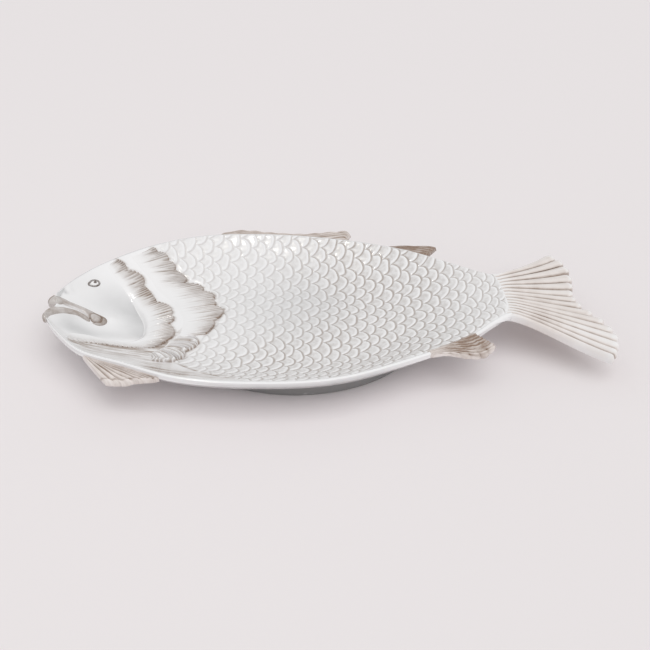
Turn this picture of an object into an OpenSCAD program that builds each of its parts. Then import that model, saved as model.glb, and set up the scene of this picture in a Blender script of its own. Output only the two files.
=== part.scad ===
// Fish shaped serving platter in glazed earthenware.
// A pressed dish stands on a foot ring. Tail, fins, lips, eye and gill frills are luted on with slip.
// Lengths are millimetres. +X runs from the snout to the tail, +Y to the back fins, +Z up.
// The origin is on the table under the middle of the whole platter.

/* [Dish] */
// Length of the dish from the snout to the tail root
body_len = 476; // [420:1:540]
// Greatest width of the dish
body_w = 270; // [240:1:300]
// Depth of the well below the rim
well_depth = 32; // [24:1:38]
// Depth of the well that is left at the tail root
root_depth = 3; // [1:0.5:8]
// Width of the sloping wall of the well
wall_w = 80; // [60:1:100]
// Thickness of the clay
clay_t = 9; // [7:0.5:11]
// Width of the rounded lip along the rim
lip_w = 6; // [4:0.5:8]
// Height of the rounding on the outer edge of the lip
lip_round = 3.5; // [2:0.5:5]
// Height of the lip above the wall beside it
lip_rise = 1; // [0:0.25:2]
// Gap that the slip fills between two luted pieces
slip = 0.3; // [0.2:0.05:0.5]

/* [Foot ring] */
// Height of the underside of the well above the table
foot_h = 7.5; // [4:0.5:14]
// Length of the foot ring at the table
foot_len = 250; // [200:1:280]
// Width of the foot ring at the table
foot_w = 194; // [150:1:205]
// Width of the flat that stands on the table
foot_t = 9; // [6:0.5:14]
// How far the ring spreads where it meets the dish
foot_flare = 3; // [0:0.5:6]

/* [Tail fin] */
// Length of the tail from its root to its longest tip
tail_len = 101; // [80:1:130]
// Width of the tail across its tips
tail_w = 180; // [140:1:210]
// Thickness of the tail in the grooves at its tips
tail_t = 6; // [4:0.5:9]
// Height of the tail ribs
tail_rib_h = 2.2; // [1:0.1:3]
// How far the tips lie below the rim
tail_drop = 4; // [0:0.5:10]
// How far the belly edge of the tail curls down
tail_curl = 14; // [4:0.5:18]
// Number of ribs on the tail
tail_ribs = 14; // [8:1:18]

/* [Fins] */
// Thickness of a fin in the grooves at its tips
fin_t = 3.5; // [2:0.25:5]
// Height of the fin ribs
fin_rib_h = 1.8; // [0.5:0.1:2.5]
// Reach of the front back fin out of the rim
front_reach = 24; // [12:0.5:32]
// How far the tips of the front back fin lean towards the tail
front_lean = 6; // [0:0.5:14]
// Reach of the rear back fin out of the rim
rear_reach = 20; // [12:0.5:28]
// How far the tips of the rear back fin lean towards the tail
rear_lean = 10; // [0:0.5:16]
// How far the tips of the back fins rise above their roots
back_rise = 1; // [0:0.25:4]
// Reach of the pelvic fin out of the rim
pelvic_reach = 20; // [12:0.5:28]
// How far the tips of the pelvic fin lean towards the tail
pelvic_lean = 36; // [10:0.5:44]
// How far the tips of the pelvic fin hang below its root
pelvic_drop = 9; // [2:0.5:14]
// Reach of the anal fin out of the rim
anal_reach = 21; // [12:0.5:28]
// How far the tips of the anal fin lean towards the tail
anal_lean = 14; // [4:0.5:20]
// How far the tips of the anal fin hang below its root
anal_drop = 5; // [0:0.5:12]

/* [Face] */
// Thickness of the gill cover at its frilled edge
gill_t = 3; // [2:0.25:4.5]
// Thickness of the shoulder collar at its frilled edge
collar_t = 2.6; // [1.75:0.25:4]
// Thickness of the throat frill at its frilled edge
throat_t = 3; // [2:0.25:4.5]
// Thickness of the frills at their smooth front edge
feather_t = 0.8; // [0.5:0.1:1.5]
// Extra slip under the lips, where the wall behind the snout curves most
lip_bed = 0.15; // [0.05:0.05:0.3]
// Height of the upper lip
upper_lip_h = 4.5; // [2:0.25:7]
// Greatest width of the upper lip
upper_lip_w = 13; // [8:0.5:14]
// Height of the lower lip
lower_lip_h = 3.2; // [1.5:0.25:5]
// Greatest width of the lower lip
lower_lip_w = 6; // [3:0.5:7]
// Diameter of the eyeball
eye_d = 8.4; // [5:0.2:12]
// Height of the eyeball
eye_h = 2.6; // [1:0.2:5]
// Width of the ring round the eye
eye_ring_w = 2.6; // [1.5:0.1:4]
// Height of the ring round the eye
eye_ring_h = 1.6; // [0.8:0.1:3]

/* [Hidden] */

half_w = body_w / 2;
rim_z = foot_h + clay_t + well_depth;
fin_root_t = clay_t - lip_round;

// Number of steps along and across the dish, round the foot ring and over one rib
dish_rows = 48;
dish_cols = 24;
ring_rows = 64;
ring_cols = 3;
rib_steps = 4;
fin_cols = 5;
tail_cols = 8;
frill_cols = 5;
lip_rows = 24;
lip_cols = 8;
eye_rows = 24;
eye_cols = 8;

// How strongly the steps along the dish crowd towards the snout
crowd_power = 1.5;
// How sharply the side walls of the well turn into the wall at the snout
corner_power = 3;
// Share of a half width that the rim lip may take where the dish is narrow
lip_limit_share = 0.3;
// Share of the length where the well starts to rise to the tail root
rise_share = 0.68;
// Small step for the direction of the rim
step_share = 0.002;
// How much of a fin's reach is lost in the grooves between its rib tips
scallop_share = 0.1;
// Share of a frill's width that its lobes take
lobe_share = 0.07;
// Depth of the grooves in a frill as a share of its edge thickness
groove_share = 0.4;
// Place of the middle of the foot ring along the dish
foot_mid_share = 0.542;
// Height of a lip or eye along its thin border, as a share of its full height
border_share = 0.2;
// How blunt the ends of a lip are
end_share = 0.08;

// Rim outline: place along the dish, then share of the half width
back_shares = [
    [0, 0.015], [0.01, 0.125], [0.042, 0.34], [0.1, 0.575], [0.19, 0.815], [0.307, 0.975],
    [0.454, 1], [0.622, 0.92], [0.79, 0.735], [0.903, 0.505], [1, 0.32]
];
belly_shares = [
    [0, 0.18], [0.01, 0.28], [0.042, 0.46], [0.1, 0.635], [0.19, 0.765], [0.307, 0.935],
    [0.454, 1], [0.622, 0.96], [0.79, 0.725], [0.903, 0.515], [1, 0.215]
];

// Tips of the tail from the back to the belly: shares of its length and width
tail_tip_shares = [
    [0.67, 0.5], [0.79, 0.37], [0.77, 0.18], [0.74, 0], [0.86, -0.165], [1, -0.345], [0.93, -0.5]
];
// Middle of the tail tips as a share of the half width of the dish
tail_mid_share = 0.045;
// Where the belly edge of the tail starts to curl, as a share of its ribs
curl_share = 0.7;
// How much the ribs of the tail bend outwards on their way to the tips
tail_bend = 1.15;

// Root of each fin: first and last place along the dish
front_root_shares = [0.349, 0.664];
rear_root_shares = [0.748, 0.851];
pelvic_root_shares = [0.105, 0.27];
anal_root_shares = [0.811, 0.916];
// Reach and lean of the fin tips: place along the root, then share of the reach or lean
front_reach_shares = [[0, 0.3], [0.15, 0.58], [0.4, 0.4], [0.62, 0.4], [0.8, 0.72], [0.95, 1], [1, 0.85]];
front_lean_shares = [[0, 0.5], [0.5, 1], [1, 0.4]];
rear_reach_shares = [[0, 0.25], [0.25, 0.68], [0.6, 0.97], [1, 1]];
rear_lean_shares = [[0, 0.8], [0.5, 1], [1, 0.2]];
pelvic_reach_shares = [[0, 1], [0.25, 0.72], [0.5, 0.48], [0.75, 0.32], [1, 0.15]];
pelvic_lean_shares = [[0, 1], [0.25, 0.72], [0.5, 0.48], [0.75, 0.3], [1, 0.1]];
anal_reach_shares = [[0, 0.2], [0.25, 0.7], [0.5, 1], [0.75, 0.95], [1, 0.7]];
anal_lean_shares = [[0, 1], [0.5, 0.75], [1, 1]];
front_ribs = 14;
rear_ribs = 5;
pelvic_ribs = 6;
anal_ribs = 6;

// Face pieces, as shares of the dish length from the snout and of the half width from the axis.
// Gill cover, from the rim over the cheek to the chin
gill_front_shares = [
    [0.1, 0.54], [0.112, 0.49], [0.132, 0.4], [0.157, 0.315], [0.18, 0.19], [0.197, 0.05],
    [0.2, -0.085], [0.192, -0.2], [0.166, -0.236], [0.135, -0.221], [0.089, -0.211], [0.052, -0.255]
];
gill_rear_shares = [
    [0.136, 0.645], [0.155, 0.59], [0.18, 0.515], [0.204, 0.4], [0.238, 0.275], [0.262, 0.1],
    [0.269, -0.06], [0.263, -0.185], [0.225, -0.285], [0.18, -0.318], [0.11, -0.28], [0.062, -0.3]
];
gill_lobes = 26;
// Shoulder collar, from the rim down to the throat
collar_front_shares = [
    [0.143, 0.668], [0.162, 0.605], [0.187, 0.53], [0.212, 0.41],
    [0.246, 0.28], [0.27, 0.1], [0.277, -0.06], [0.272, -0.17]
];
collar_rear_shares = [
    [0.206, 0.812], [0.236, 0.745], [0.27, 0.61], [0.318, 0.54],
    [0.348, 0.385], [0.366, 0.18], [0.355, 0.01], [0.335, -0.135]
];
collar_lobes = 20;
// Throat frill, from the collar forward under the gill cover
throat_front_shares = [
    [0.28, -0.2], [0.268, -0.235], [0.248, -0.275], [0.222, -0.31], [0.18, -0.345], [0.13, -0.32]
];
throat_rear_shares = [
    [0.328, -0.185], [0.325, -0.31], [0.295, -0.435], [0.25, -0.485], [0.19, -0.46], [0.125, -0.4]
];
throat_lobes = 13;
// Lips: the mouth line from the snout to the corner, then shares of the greatest width along it
upper_lip_shares = [
    [0.025, 0.003], [0.03, 0.03], [0.037, 0.065], [0.05, 0.08],
    [0.066, 0.068], [0.083, 0.018], [0.096, -0.05]
];
upper_lip_w_shares = [[0, 0.75], [0.2, 0.8], [0.4, 0.55], [0.6, 0.65], [0.85, 1], [1, 0.8]];
lower_lip_shares = [
    [0.015, -0.12], [0.0185, -0.05], [0.027, 0.008], [0.039, 0.045],
    [0.054, 0.06], [0.069, 0.042], [0.084, -0.008]
];
lower_lip_w_shares = [[0, 0.6], [0.3, 1], [0.7, 1], [1, 0.7]];
eye_shares = [0.0786, 0.367];

function blend(a, b, t) = a + (b - a) * t;
function ease(t) = let (c = min(1, max(0, t))) c * c * (3 - 2 * c);

// Value at place s of a smooth curve through the points [place, value]
function piece_at(points, s, i = 0) =
    i >= len(points) - 2 || s < points[i + 1][0] ? i : piece_at(points, s, i + 1);
function slope_at(points, i) = let (
    a = points[max(i - 1, 0)],
    b = points[min(i + 1, len(points) - 1)]
) (b[1] - a[1]) / (b[0] - a[0]);
function smooth(points, s) = let (
    i = piece_at(points, s),
    a = points[i],
    b = points[i + 1],
    w = b[0] - a[0],
    t = (s - a[0]) / w,
    u = 1 - t
) a[1] * (1 + 2 * t) * u * u + b[1] * (3 - 2 * t) * t * t
    + w * (slope_at(points, i) * t * u * u - slope_at(points, i + 1) * t * t * u);
// Point at share r of a smooth line through plain points
function track(points, r) = let (
    last = len(points) - 1
) smooth([for (i = [0:last]) [i / last, points[i]]], r);

// Rim of the dish at the place s along it
function back_edge(s) = half_w * smooth(back_shares, s);
function belly_edge(s) = -half_w * smooth(belly_shares, s);
// Distance from the rim, eased where the walls of side and snout meet
function ease_corner(a, b) =
    a * b == 0 ? 0 : a * b / pow(pow(a, corner_power) + pow(b, corner_power), 1 / corner_power);
function rim_gap(s, y) =
    ease_corner(max(0, min(back_edge(s) - y, y - belly_edge(s))), max(0, s * body_len));
function depth_at(s) = blend(well_depth, root_depth, ease((s - rise_share) / (1 - rise_share)));
function well_z(s, y) = rim_z - depth_at(s) * sin(90 * min(1, rim_gap(s, y) / wall_w));
// The rim lip is round on its outer edge and stands a little above the wall
function lip_form(d) =
    d >= lip_w ? 0 : lip_rise * sin(180 * d / lip_w) - lip_round * pow(max(0, 1 - 2 * d / lip_w), 2);
function top_z(s, y) = well_z(s, y) + lip_form(rim_gap(s, y));
function under_z(s, y) = well_z(s, y) - clay_t;

// Ridges with sharp grooves between them: 0 in a groove, 1 on a ridge
function rib(r, count) = abs(sin(180 * count * r));

// Direction along the rim to the tail, and out of the rim, on the back side or the belly side
function edge(side, s) = side > 0 ? back_edge(s) : belly_edge(s);
function edge_run(side, s) = let (
    d = [2 * step_share * body_len, edge(side, s + step_share) - edge(side, s - step_share)]
) d / norm(d);
function edge_out(side, s) = let (e = edge_run(side, s)) side * [-e.y, e.x];

// Point on the dish at shares p, raised by the slip and by h
function on_dish(p, h) = let (
    y = p.y * half_w
) [p.x * body_len, y, top_z(p.x, y) + slip + h];

// Grids of the pieces that reach furthest, which the middle of the platter is worked out from
function dish_lip_share(s) = min(lip_limit_share, lip_w / ((back_edge(s) - belly_edge(s)) / 2));
function dish_across(s) = let (lip = dish_lip_share(s)) concat(
    [-1, -1 + lip / 2],
    [for (j = [0:dish_cols]) (1 - lip) * (2 * j / dish_cols - 1)],
    [1 - lip / 2, 1]
);
function dish_row(s) = let (
    mid = (back_edge(s) + belly_edge(s)) / 2,
    half = (back_edge(s) - belly_edge(s)) / 2
) [for (t = dish_across(s)) [s, mid + t * half]];
dish_grid = [for (i = [0:dish_rows]) dish_row(pow(i / dish_rows, crowd_power))];

function fin_place(side, roots, reach, reaches, lean, leans, ribs, r, c) = let (
    s = blend(roots[0], roots[1], r),
    out = reach * smooth(reaches, r) * (1 - scallop_share * (1 - rib(r, ribs))),
    back = lean * smooth(leans, r)
) [s * body_len, edge(side, s)] + edge_out(side, s) * (slip + out * c) + edge_run(side, s) * back * c * c;
front_fin_tips = [
    for (i = [0:front_ribs * rib_steps])
        fin_place(1, front_root_shares, front_reach, front_reach_shares, front_lean, front_lean_shares,
            front_ribs, i / (front_ribs * rib_steps), 1)
];

function tail_tip(r) = let (
    p = track(tail_tip_shares, r),
    trim = 1 - scallop_share / 2 * (1 - rib(r, tail_ribs))
) [body_len + tail_len * p.x * trim, tail_mid_share * half_w + tail_w * p.y];
tail_rows = tail_ribs * rib_steps;

// Middle of the platter in the dish's own frame
middle_x = max([for (i = [0:tail_rows]) tail_tip(i / tail_rows).x]) / 2;
middle_y = (max([for (p = front_fin_tips) p.y]) + min([for (row = dish_grid) row[0][1]])) / 2;

// Solid between an upper and a lower sheet of points; a closed sheet joins its last row to its first
module slab(top, under, closed = false) {
    rows = len(top);
    cols = len(top[0]);
    count = rows * cols;
    last = closed ? rows - 1 : rows - 2;
    function id(i, j) = (i % rows) * cols + j;
    function quad(a, b, c, d) = [[a, b, c], [a, c, d]];
    sheets = [
        for (i = [0:last], j = [0:cols - 2])
            let (a = id(i, j), b = id(i, j + 1), c = id(i + 1, j + 1), d = id(i + 1, j))
                each concat(quad(a, b, c, d), quad(count + a, count + d, count + c, count + b))
    ];
    sides = [
        for (i = [0:last])
            let (a = id(i, 0), b = id(i + 1, 0), c = id(i, cols - 1), d = id(i + 1, cols - 1))
                each concat(quad(a, b, count + b, count + a), quad(d, c, count + c, count + d))
    ];
    ends = closed ? [] : [
        for (j = [0:cols - 2])
            let (a = id(0, j), b = id(0, j + 1), c = id(rows - 1, j), d = id(rows - 1, j + 1))
                each concat(quad(b, a, count + a, count + b), quad(c, d, count + d, count + c))
    ];
    translate([-middle_x, -middle_y, 0])
        polyhedron(
            points = concat([for (row = top) each row], [for (row = under) each row]),
            faces = concat(sheets, sides, ends)
        );
}

// Fin on the rim of the back side or the belly side, with ribs from its root to its tips
module fin(side, roots, reach, reaches, lean, leans, drop, ribs) {
    rows = ribs * rib_steps;
    function place(r, c) = fin_place(side, roots, reach, reaches, lean, leans, ribs, r, c);
    function low(r, c) = rim_z - clay_t - drop * smooth(reaches, r) * pow(c, 1.5);
    function high(r, c) =
        low(r, c) + blend(fin_root_t, fin_t, c) + fin_rib_h * rib(r, ribs) * min(1, 3 * c);
    function run(i) = side > 0 ? i / rows : 1 - i / rows;
    slab(
        [for (i = [0:rows]) [for (j = [0:fin_cols]) let (r = run(i), c = j / fin_cols)
            [each place(r, c), high(r, c)]]],
        [for (i = [0:rows]) [for (j = [0:fin_cols]) let (r = run(i), c = j / fin_cols)
            [each place(r, c), low(r, c)]]]
    );
}

// Frilled sheet on the dish from a smooth front line to a lobed rear line
module frill(front, rear, lobes, edge_t) {
    rows = lobes * rib_steps;
    function place(r, c) =
        blend(track(front, r), track(rear, r), c * (1 - lobe_share * (1 - rib(r, lobes))));
    function rise(r, c) =
        blend(feather_t, edge_t * (1 - groove_share * (1 - rib(r, lobes))), c * c);
    slab(
        [for (i = [0:rows]) [for (j = [0:frill_cols]) let (r = i / rows, c = j / frill_cols)
            on_dish(place(r, c), rise(r, c))]],
        [for (i = [0:rows]) [for (j = [0:frill_cols]) let (r = i / rows, c = j / frill_cols)
            on_dish(place(r, c), 0)]]
    );
}

// Rounded roll on the dish, on the back side (1) or the belly side (-1) of a mouth line
module roll(side, line, widths, w, h) {
    function size(p) = [p.x * body_len, p.y * half_w];
    function run(r) = let (
        d = size(track(line, min(1, r + step_share))) - size(track(line, max(0, r - step_share)))
    ) d / norm(d);
    function place(r, q) = let (
        e = run(r),
        p = size(track(line, r)) + side * [-e.y, e.x] * q * w * smooth(widths, r)
    ) [p.x / body_len, p.y / half_w];
    function swell(r, q) =
        h * max(border_share, sin(180 * q) * sqrt(sin(180 * blend(end_share, 1 - end_share, r))));
    function along(i) = side > 0 ? i / lip_rows : 1 - i / lip_rows;
    slab(
        [for (i = [0:lip_rows]) [for (j = [0:lip_cols]) let (r = along(i), q = j / lip_cols)
            on_dish(place(r, q), lip_bed + swell(r, q))]],
        [for (i = [0:lip_rows]) [for (j = [0:lip_cols]) let (r = along(i), q = j / lip_cols)
            on_dish(place(r, q), lip_bed)]]
    );
}

// Place on the dish at a distance from the middle of the eye
function by_eye(d) = eye_shares + [d.x / body_len, d.y / half_w];

module dish() {
    color("whitesmoke")
        slab(
            [for (row = dish_grid) [for (p = row) [p[0] * body_len, p[1], top_z(p[0], p[1])]]],
            [for (row = dish_grid) [for (p = row) [p[0] * body_len, p[1], under_z(p[0], p[1])]]]
        );
}

module foot_ring() {
    function place(a, q, spread) = [
        foot_mid_share * body_len + (foot_len / 2 + spread - foot_t * q) * cos(a),
        (foot_w / 2 + spread - foot_t * q) * sin(a)
    ];
    function seat(p) = [p.x, p.y, under_z(p.x / body_len, p.y) - slip];
    color("gainsboro")
        slab(
            [for (i = [0:ring_rows - 1]) [for (j = [0:ring_cols])
                seat(place(360 * i / ring_rows, j / ring_cols, foot_flare))]],
            [for (i = [0:ring_rows - 1]) [for (j = [0:ring_cols])
                [each place(360 * i / ring_rows, j / ring_cols, 0), 0]]],
            closed = true
        );
}

module tail_fin() {
    root_high = back_edge(1);
    root_low = belly_edge(1);
    function place(r, c) = let (
        root = [body_len + slip, blend(root_high, root_low, r)],
        tip = tail_tip(r)
    ) [blend(root.x, tip.x, c), blend(root.y, tip.y, pow(c, tail_bend))];
    function curl(r) = tail_curl * pow(max(0, (r - curl_share) / (1 - curl_share)), 2);
    function sheet(r, c) = let (
        root_z = top_z(1, blend(root_high, root_low, r))
    ) blend(root_z, rim_z - tail_drop - tail_rib_h - curl(r), ease(c));
    function high(r, c) = sheet(r, c) + tail_rib_h * rib(r, tail_ribs) * min(1, 2 * c);
    function low(r, c) = let (
        root_z = under_z(1, blend(root_high, root_low, r))
    ) min(blend(root_z, sheet(r, 1) - tail_t, ease(c)), sheet(r, c) - tail_t * ease(c));
    color("tan")
        slab(
            [for (i = [0:tail_rows]) [for (j = [0:tail_cols]) let (r = i / tail_rows, c = j / tail_cols)
                [each place(r, c), high(r, c)]]],
            [for (i = [0:tail_rows]) [for (j = [0:tail_cols]) let (r = i / tail_rows, c = j / tail_cols)
                [each place(r, c), low(r, c)]]]
        );
}

module front_dorsal_fin() {
    color("tan")
        fin(1, front_root_shares, front_reach, front_reach_shares, front_lean, front_lean_shares,
            -back_rise, front_ribs);
}

module rear_dorsal_fin() {
    color("tan")
        fin(1, rear_root_shares, rear_reach, rear_reach_shares, rear_lean, rear_lean_shares,
            -back_rise, rear_ribs);
}

module pelvic_fin() {
    color("tan")
        fin(-1, pelvic_root_shares, pelvic_reach, pelvic_reach_shares, pelvic_lean, pelvic_lean_shares,
            pelvic_drop, pelvic_ribs);
}

module anal_fin() {
    color("tan")
        fin(-1, anal_root_shares, anal_reach, anal_reach_shares, anal_lean, anal_lean_shares,
            anal_drop, anal_ribs);
}

module gill_cover() {
    color("linen")
        frill(gill_front_shares, gill_rear_shares, gill_lobes, gill_t);
}

module shoulder_collar() {
    color("linen")
        frill(collar_front_shares, collar_rear_shares, collar_lobes, collar_t);
}

module throat_frill() {
    color("linen")
        frill(throat_front_shares, throat_rear_shares, throat_lobes, throat_t);
}

module upper_lip() {
    color("rosybrown")
        roll(1, upper_lip_shares, upper_lip_w_shares, upper_lip_w, upper_lip_h);
}

module lower_lip() {
    color("rosybrown")
        roll(-1, lower_lip_shares, lower_lip_w_shares, lower_lip_w, lower_lip_h);
}

module eyeball() {
    // A square grid pressed into a round one, so that the dome has no pole
    function spot(u, v) = eye_d / 2 * [u * sqrt(1 - v * v / 2), v * sqrt(1 - u * u / 2)];
    function dome(p) = eye_h * max(border_share, sqrt(max(0, 1 - pow(norm(p) / (eye_d / 2), 2))));
    function step(i) = 2 * i / eye_cols - 1;
    color("white")
        slab(
            [for (i = [0:eye_cols]) [for (j = [0:eye_cols]) let (p = spot(step(i), step(j)))
                on_dish(by_eye(p), dome(p))]],
            [for (i = [0:eye_cols]) [for (j = [0:eye_cols]) let (p = spot(step(i), step(j)))
                on_dish(by_eye(p), 0)]]
        );
}

module eye_ring() {
    function spot(i, j) = let (
        a = 360 * i / eye_rows
    ) (eye_d / 2 + slip + eye_ring_w * (1 - j / ring_cols)) * [cos(a), sin(a)];
    function swell(j) = eye_ring_h * max(border_share, sin(180 * j / ring_cols));
    color("rosybrown")
        slab(
            [for (i = [0:eye_rows - 1]) [for (j = [0:ring_cols]) on_dish(by_eye(spot(i, j)), swell(j))]],
            [for (i = [0:eye_rows - 1]) [for (j = [0:ring_cols]) on_dish(by_eye(spot(i, j)), 0)]],
            closed = true
        );
}

dish();
foot_ring();
tail_fin();
front_dorsal_fin();
rear_dorsal_fin();
pelvic_fin();
anal_fin();
gill_cover();
shoulder_collar();
throat_frill();
upper_lip();
lower_lip();
eyeball();
eye_ring();
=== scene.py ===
import math

import bmesh
import bpy
import mathutils
import numpy as np
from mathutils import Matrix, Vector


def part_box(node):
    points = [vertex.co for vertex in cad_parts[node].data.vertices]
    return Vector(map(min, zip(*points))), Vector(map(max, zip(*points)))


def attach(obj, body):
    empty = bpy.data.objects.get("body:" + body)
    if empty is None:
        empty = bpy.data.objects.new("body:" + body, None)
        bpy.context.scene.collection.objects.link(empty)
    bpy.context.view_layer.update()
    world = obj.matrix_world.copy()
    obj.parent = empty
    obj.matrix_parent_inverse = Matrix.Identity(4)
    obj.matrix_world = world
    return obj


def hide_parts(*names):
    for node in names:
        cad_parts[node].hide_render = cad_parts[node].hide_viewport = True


# Fish shaped platter: every clay piece of the frame gets its glazed look here
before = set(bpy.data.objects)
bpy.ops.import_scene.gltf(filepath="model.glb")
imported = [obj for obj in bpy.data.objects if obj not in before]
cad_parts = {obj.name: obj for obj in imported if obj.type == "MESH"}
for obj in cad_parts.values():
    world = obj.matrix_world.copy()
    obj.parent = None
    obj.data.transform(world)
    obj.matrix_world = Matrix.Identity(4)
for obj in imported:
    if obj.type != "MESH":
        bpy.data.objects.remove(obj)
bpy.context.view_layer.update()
scene = bpy.context.scene
scene.view_settings.view_transform = "Standard"
print("frame loaded:", len(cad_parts), "nodes")


# Camera first: same height and turn as the photograph
cameraView = {
    "target": (-0.00232, -0.0518, 0.048),  # lands in the middle of the frame
    "elevation": math.radians(36),
    "turn": math.radians(-0.7),
    "distance": 0.95,
    "lens": 52.62,
    "sensor": 36,
}


def addCamera(spec):
    camera = bpy.data.cameras.new("photoCamera")
    camera.lens = spec["lens"]
    camera.sensor_width = spec["sensor"]
    camera.clip_start = spec["distance"] / 100
    eye = bpy.data.objects.new("photoCamera", camera)
    eye.rotation_euler = (math.pi / 2 - spec["elevation"], 0, spec["turn"])
    ahead = spec["distance"] * math.cos(spec["elevation"])
    eye.location = (
        spec["target"][0] + ahead * math.sin(spec["turn"]),
        spec["target"][1] - ahead * math.cos(spec["turn"]),
        spec["target"][2] + spec["distance"] * math.sin(spec["elevation"]),
    )
    scene.collection.objects.link(eye)
    scene.camera = eye


addCamera(cameraView)
print("camera placed")


# Curves and easing over whole arrays of places
def alongCurve(points, place):
    table = np.asarray(points, float)
    last = len(table) - 1
    before = np.maximum(np.arange(last + 1) - 1, 0)
    after = np.minimum(np.arange(last + 1) + 1, last)
    slope = (table[after, 1] - table[before, 1]) / (table[after, 0] - table[before, 0])
    part = np.clip(np.searchsorted(table[:, 0], place, side="right") - 1, 0, last - 1)
    width = table[part + 1, 0] - table[part, 0]
    t = (place - table[part, 0]) / width
    rest = 1 - t
    level = table[part, 1] * (1 + 2 * t) * rest ** 2 + table[part + 1, 1] * (3 - 2 * t) * t ** 2
    return level + width * (slope[part] * t * rest ** 2 - slope[part + 1] * t ** 2 * rest)


def trackLine(points, run):
    table = np.asarray(points, float)
    steps = np.linspace(0, 1, len(table))
    return [alongCurve(np.column_stack([steps, table[:, k]]), run) for k in (0, 1)]


def blend(first, second, t):
    return first + (second - first) * t


def ease(t):
    t = np.clip(t, 0, 1)
    return t * t * (3 - 2 * t)


def bell(distance, width):
    return np.exp(-(distance / width) ** 2)


def scatter(number):  # the same loose number between 0 and 1 for the same count
    return np.modf(np.abs(np.sin(np.floor(number) * 12.9898) * 4375.85))[0]


# The dish: a pressed fish shape with a round rim lip and a sloping wall
dish = {
    "rimZ": 0.0485,
    "wellDepth": 0.032,
    "rootDepth": 0.003,  # depth that is left at the tail root
    "wallWidth": 0.080,
    "clay": 0.009,
    "lipWidth": 0.006,  # rolled rim along the belly
    "lipRound": 0.0011,
    "headLipWidth": 0.0036,  # narrower beside the head
    "backLipWidth": 0.0028,  # and along the back
    "backLipRound": 0.0009,
    "lipRise": 0.001,
    "lipLimit": 0.3,  # most of a half width that the lip may take
    "riseFrom": 0.68,
    "cornerPower": 3,
    "backShares": [
        (0, 0.015), (0.01, 0.125), (0.042, 0.34), (0.1, 0.575), (0.19, 0.815), (0.307, 0.975),
        (0.454, 1), (0.622, 0.92), (0.79, 0.735), (0.903, 0.5),
        (0.955, 0.383), (0.985, 0.346), (1, 0.341), (1.05, 0.345),
    ],
    "bellyShares": [
        (0, 0.15), (0.01, 0.225), (0.042, 0.4), (0.1, 0.62), (0.19, 0.765), (0.307, 0.935),
        (0.454, 1), (0.622, 0.96), (0.79, 0.725), (0.903, 0.505),
        (0.955, 0.338), (0.985, 0.25), (1, 0.23), (1.04, 0.224),
    ],
    "rows": 440,
    "columns": 208,
    "lipColumns": 8,
    "underRows": 84,
    "underColumns": 48,
    "crowding": 1.12,  # rows stand closer at the snout
    "footRound": 0.0031,  # rounding of the rim's lower edge
    "footRoundWidth": 0.008,
    "mouthRecess": (-0.004, 0.013, 0.0085),  # notch behind the lips: place across, width, depth
    "recessRun": 0.12,
    "tailClay": 0.0068,  # the wall gets thinner towards the tail root
    "thinFrom": 0.72,
    "thinTo": 0.93,
}
dishLow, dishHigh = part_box("dish")
wholeRun = np.linspace(0, 1, 2001)
backReach = alongCurve(dish["backShares"], wholeRun).max()
bellyReach = alongCurve(dish["bellyShares"], wholeRun).max()
bodyLength = dishHigh.x - dishLow.x
halfWidth = (dishHigh.y - dishLow.y) / (backReach + bellyReach)
axisY = dishHigh.y - halfWidth * backReach
snoutX = dishLow.x


def backEdge(s):
    return halfWidth * alongCurve(dish["backShares"], s)


def bellyEdge(s):
    return -halfWidth * alongCurve(dish["bellyShares"], s)


def snoutEdge(y):  # the front edge is set back between the lips
    middle, width, depth = dish["mouthRecess"]
    return depth * bell(y - middle, width)


def sideGap(s, y):  # distance across the dish from the nearer rim
    return np.minimum(backEdge(s) - y, y - bellyEdge(s))


def bellySide(y):  # 0 on the back's side of the axis, 1 on the belly's side
    return ease(0.5 - 2 * y / halfWidth)


def rimGap(s, y):  # distance from the rim, eased where the side wall meets the snout
    sideways = np.maximum(1e-9, sideGap(s, y))
    lengthways = np.maximum(1e-9, s * bodyLength - snoutEdge(y))
    power = dish["cornerPower"]
    return sideways * lengthways / (sideways ** power + lengthways ** power) ** (1 / power)


def wellHeight(s, y):
    rise = ease((s - dish["riseFrom"]) / (1 - dish["riseFrom"]))
    depth = blend(dish["wellDepth"], dish["rootDepth"], rise)
    return dish["rimZ"] - depth * np.sin(math.pi / 2 * np.minimum(1, rimGap(s, y) / dish["wallWidth"]))


def clayAt(s):
    thin = ease((s - dish["thinFrom"]) / (dish["thinTo"] - dish["thinFrom"]))
    return blend(dish["clay"], dish["tailClay"], thin)


def lipForm(s, y):
    nearSide = bellySide(y)
    nearWidth = blend(dish["headLipWidth"], dish["lipWidth"], ease((s - 0.12) / 0.25))
    t = rimGap(s, y) / blend(dish["backLipWidth"], nearWidth, nearSide)
    fall = blend(dish["backLipRound"], dish["lipRound"], nearSide)
    swell = dish["lipRise"] * nearSide * np.sin(math.pi * t) - fall * np.maximum(0, 1 - 2 * t) ** 2
    return np.where(t < 1, swell, 0)


# Distance from a line on the dish, and on which side of it (positive on its left)
def lineDistance(lineX, lineY, x, y):
    best = np.full(np.shape(x), 1e9)
    sign = np.ones(np.shape(x))
    for k in range(len(lineX) - 1):
        stepX, stepY = lineX[k + 1] - lineX[k], lineY[k + 1] - lineY[k]
        offX, offY = x - lineX[k], y - lineY[k]
        t = np.clip((offX * stepX + offY * stepY) / (stepX ** 2 + stepY ** 2), 0, 1)
        away = np.hypot(offX - t * stepX, offY - t * stepY)
        nearer = away < best
        best = np.where(nearer, away, best)
        sign = np.where(nearer, np.sign(stepX * offY - stepY * offX), sign)
    return best, sign


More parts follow.
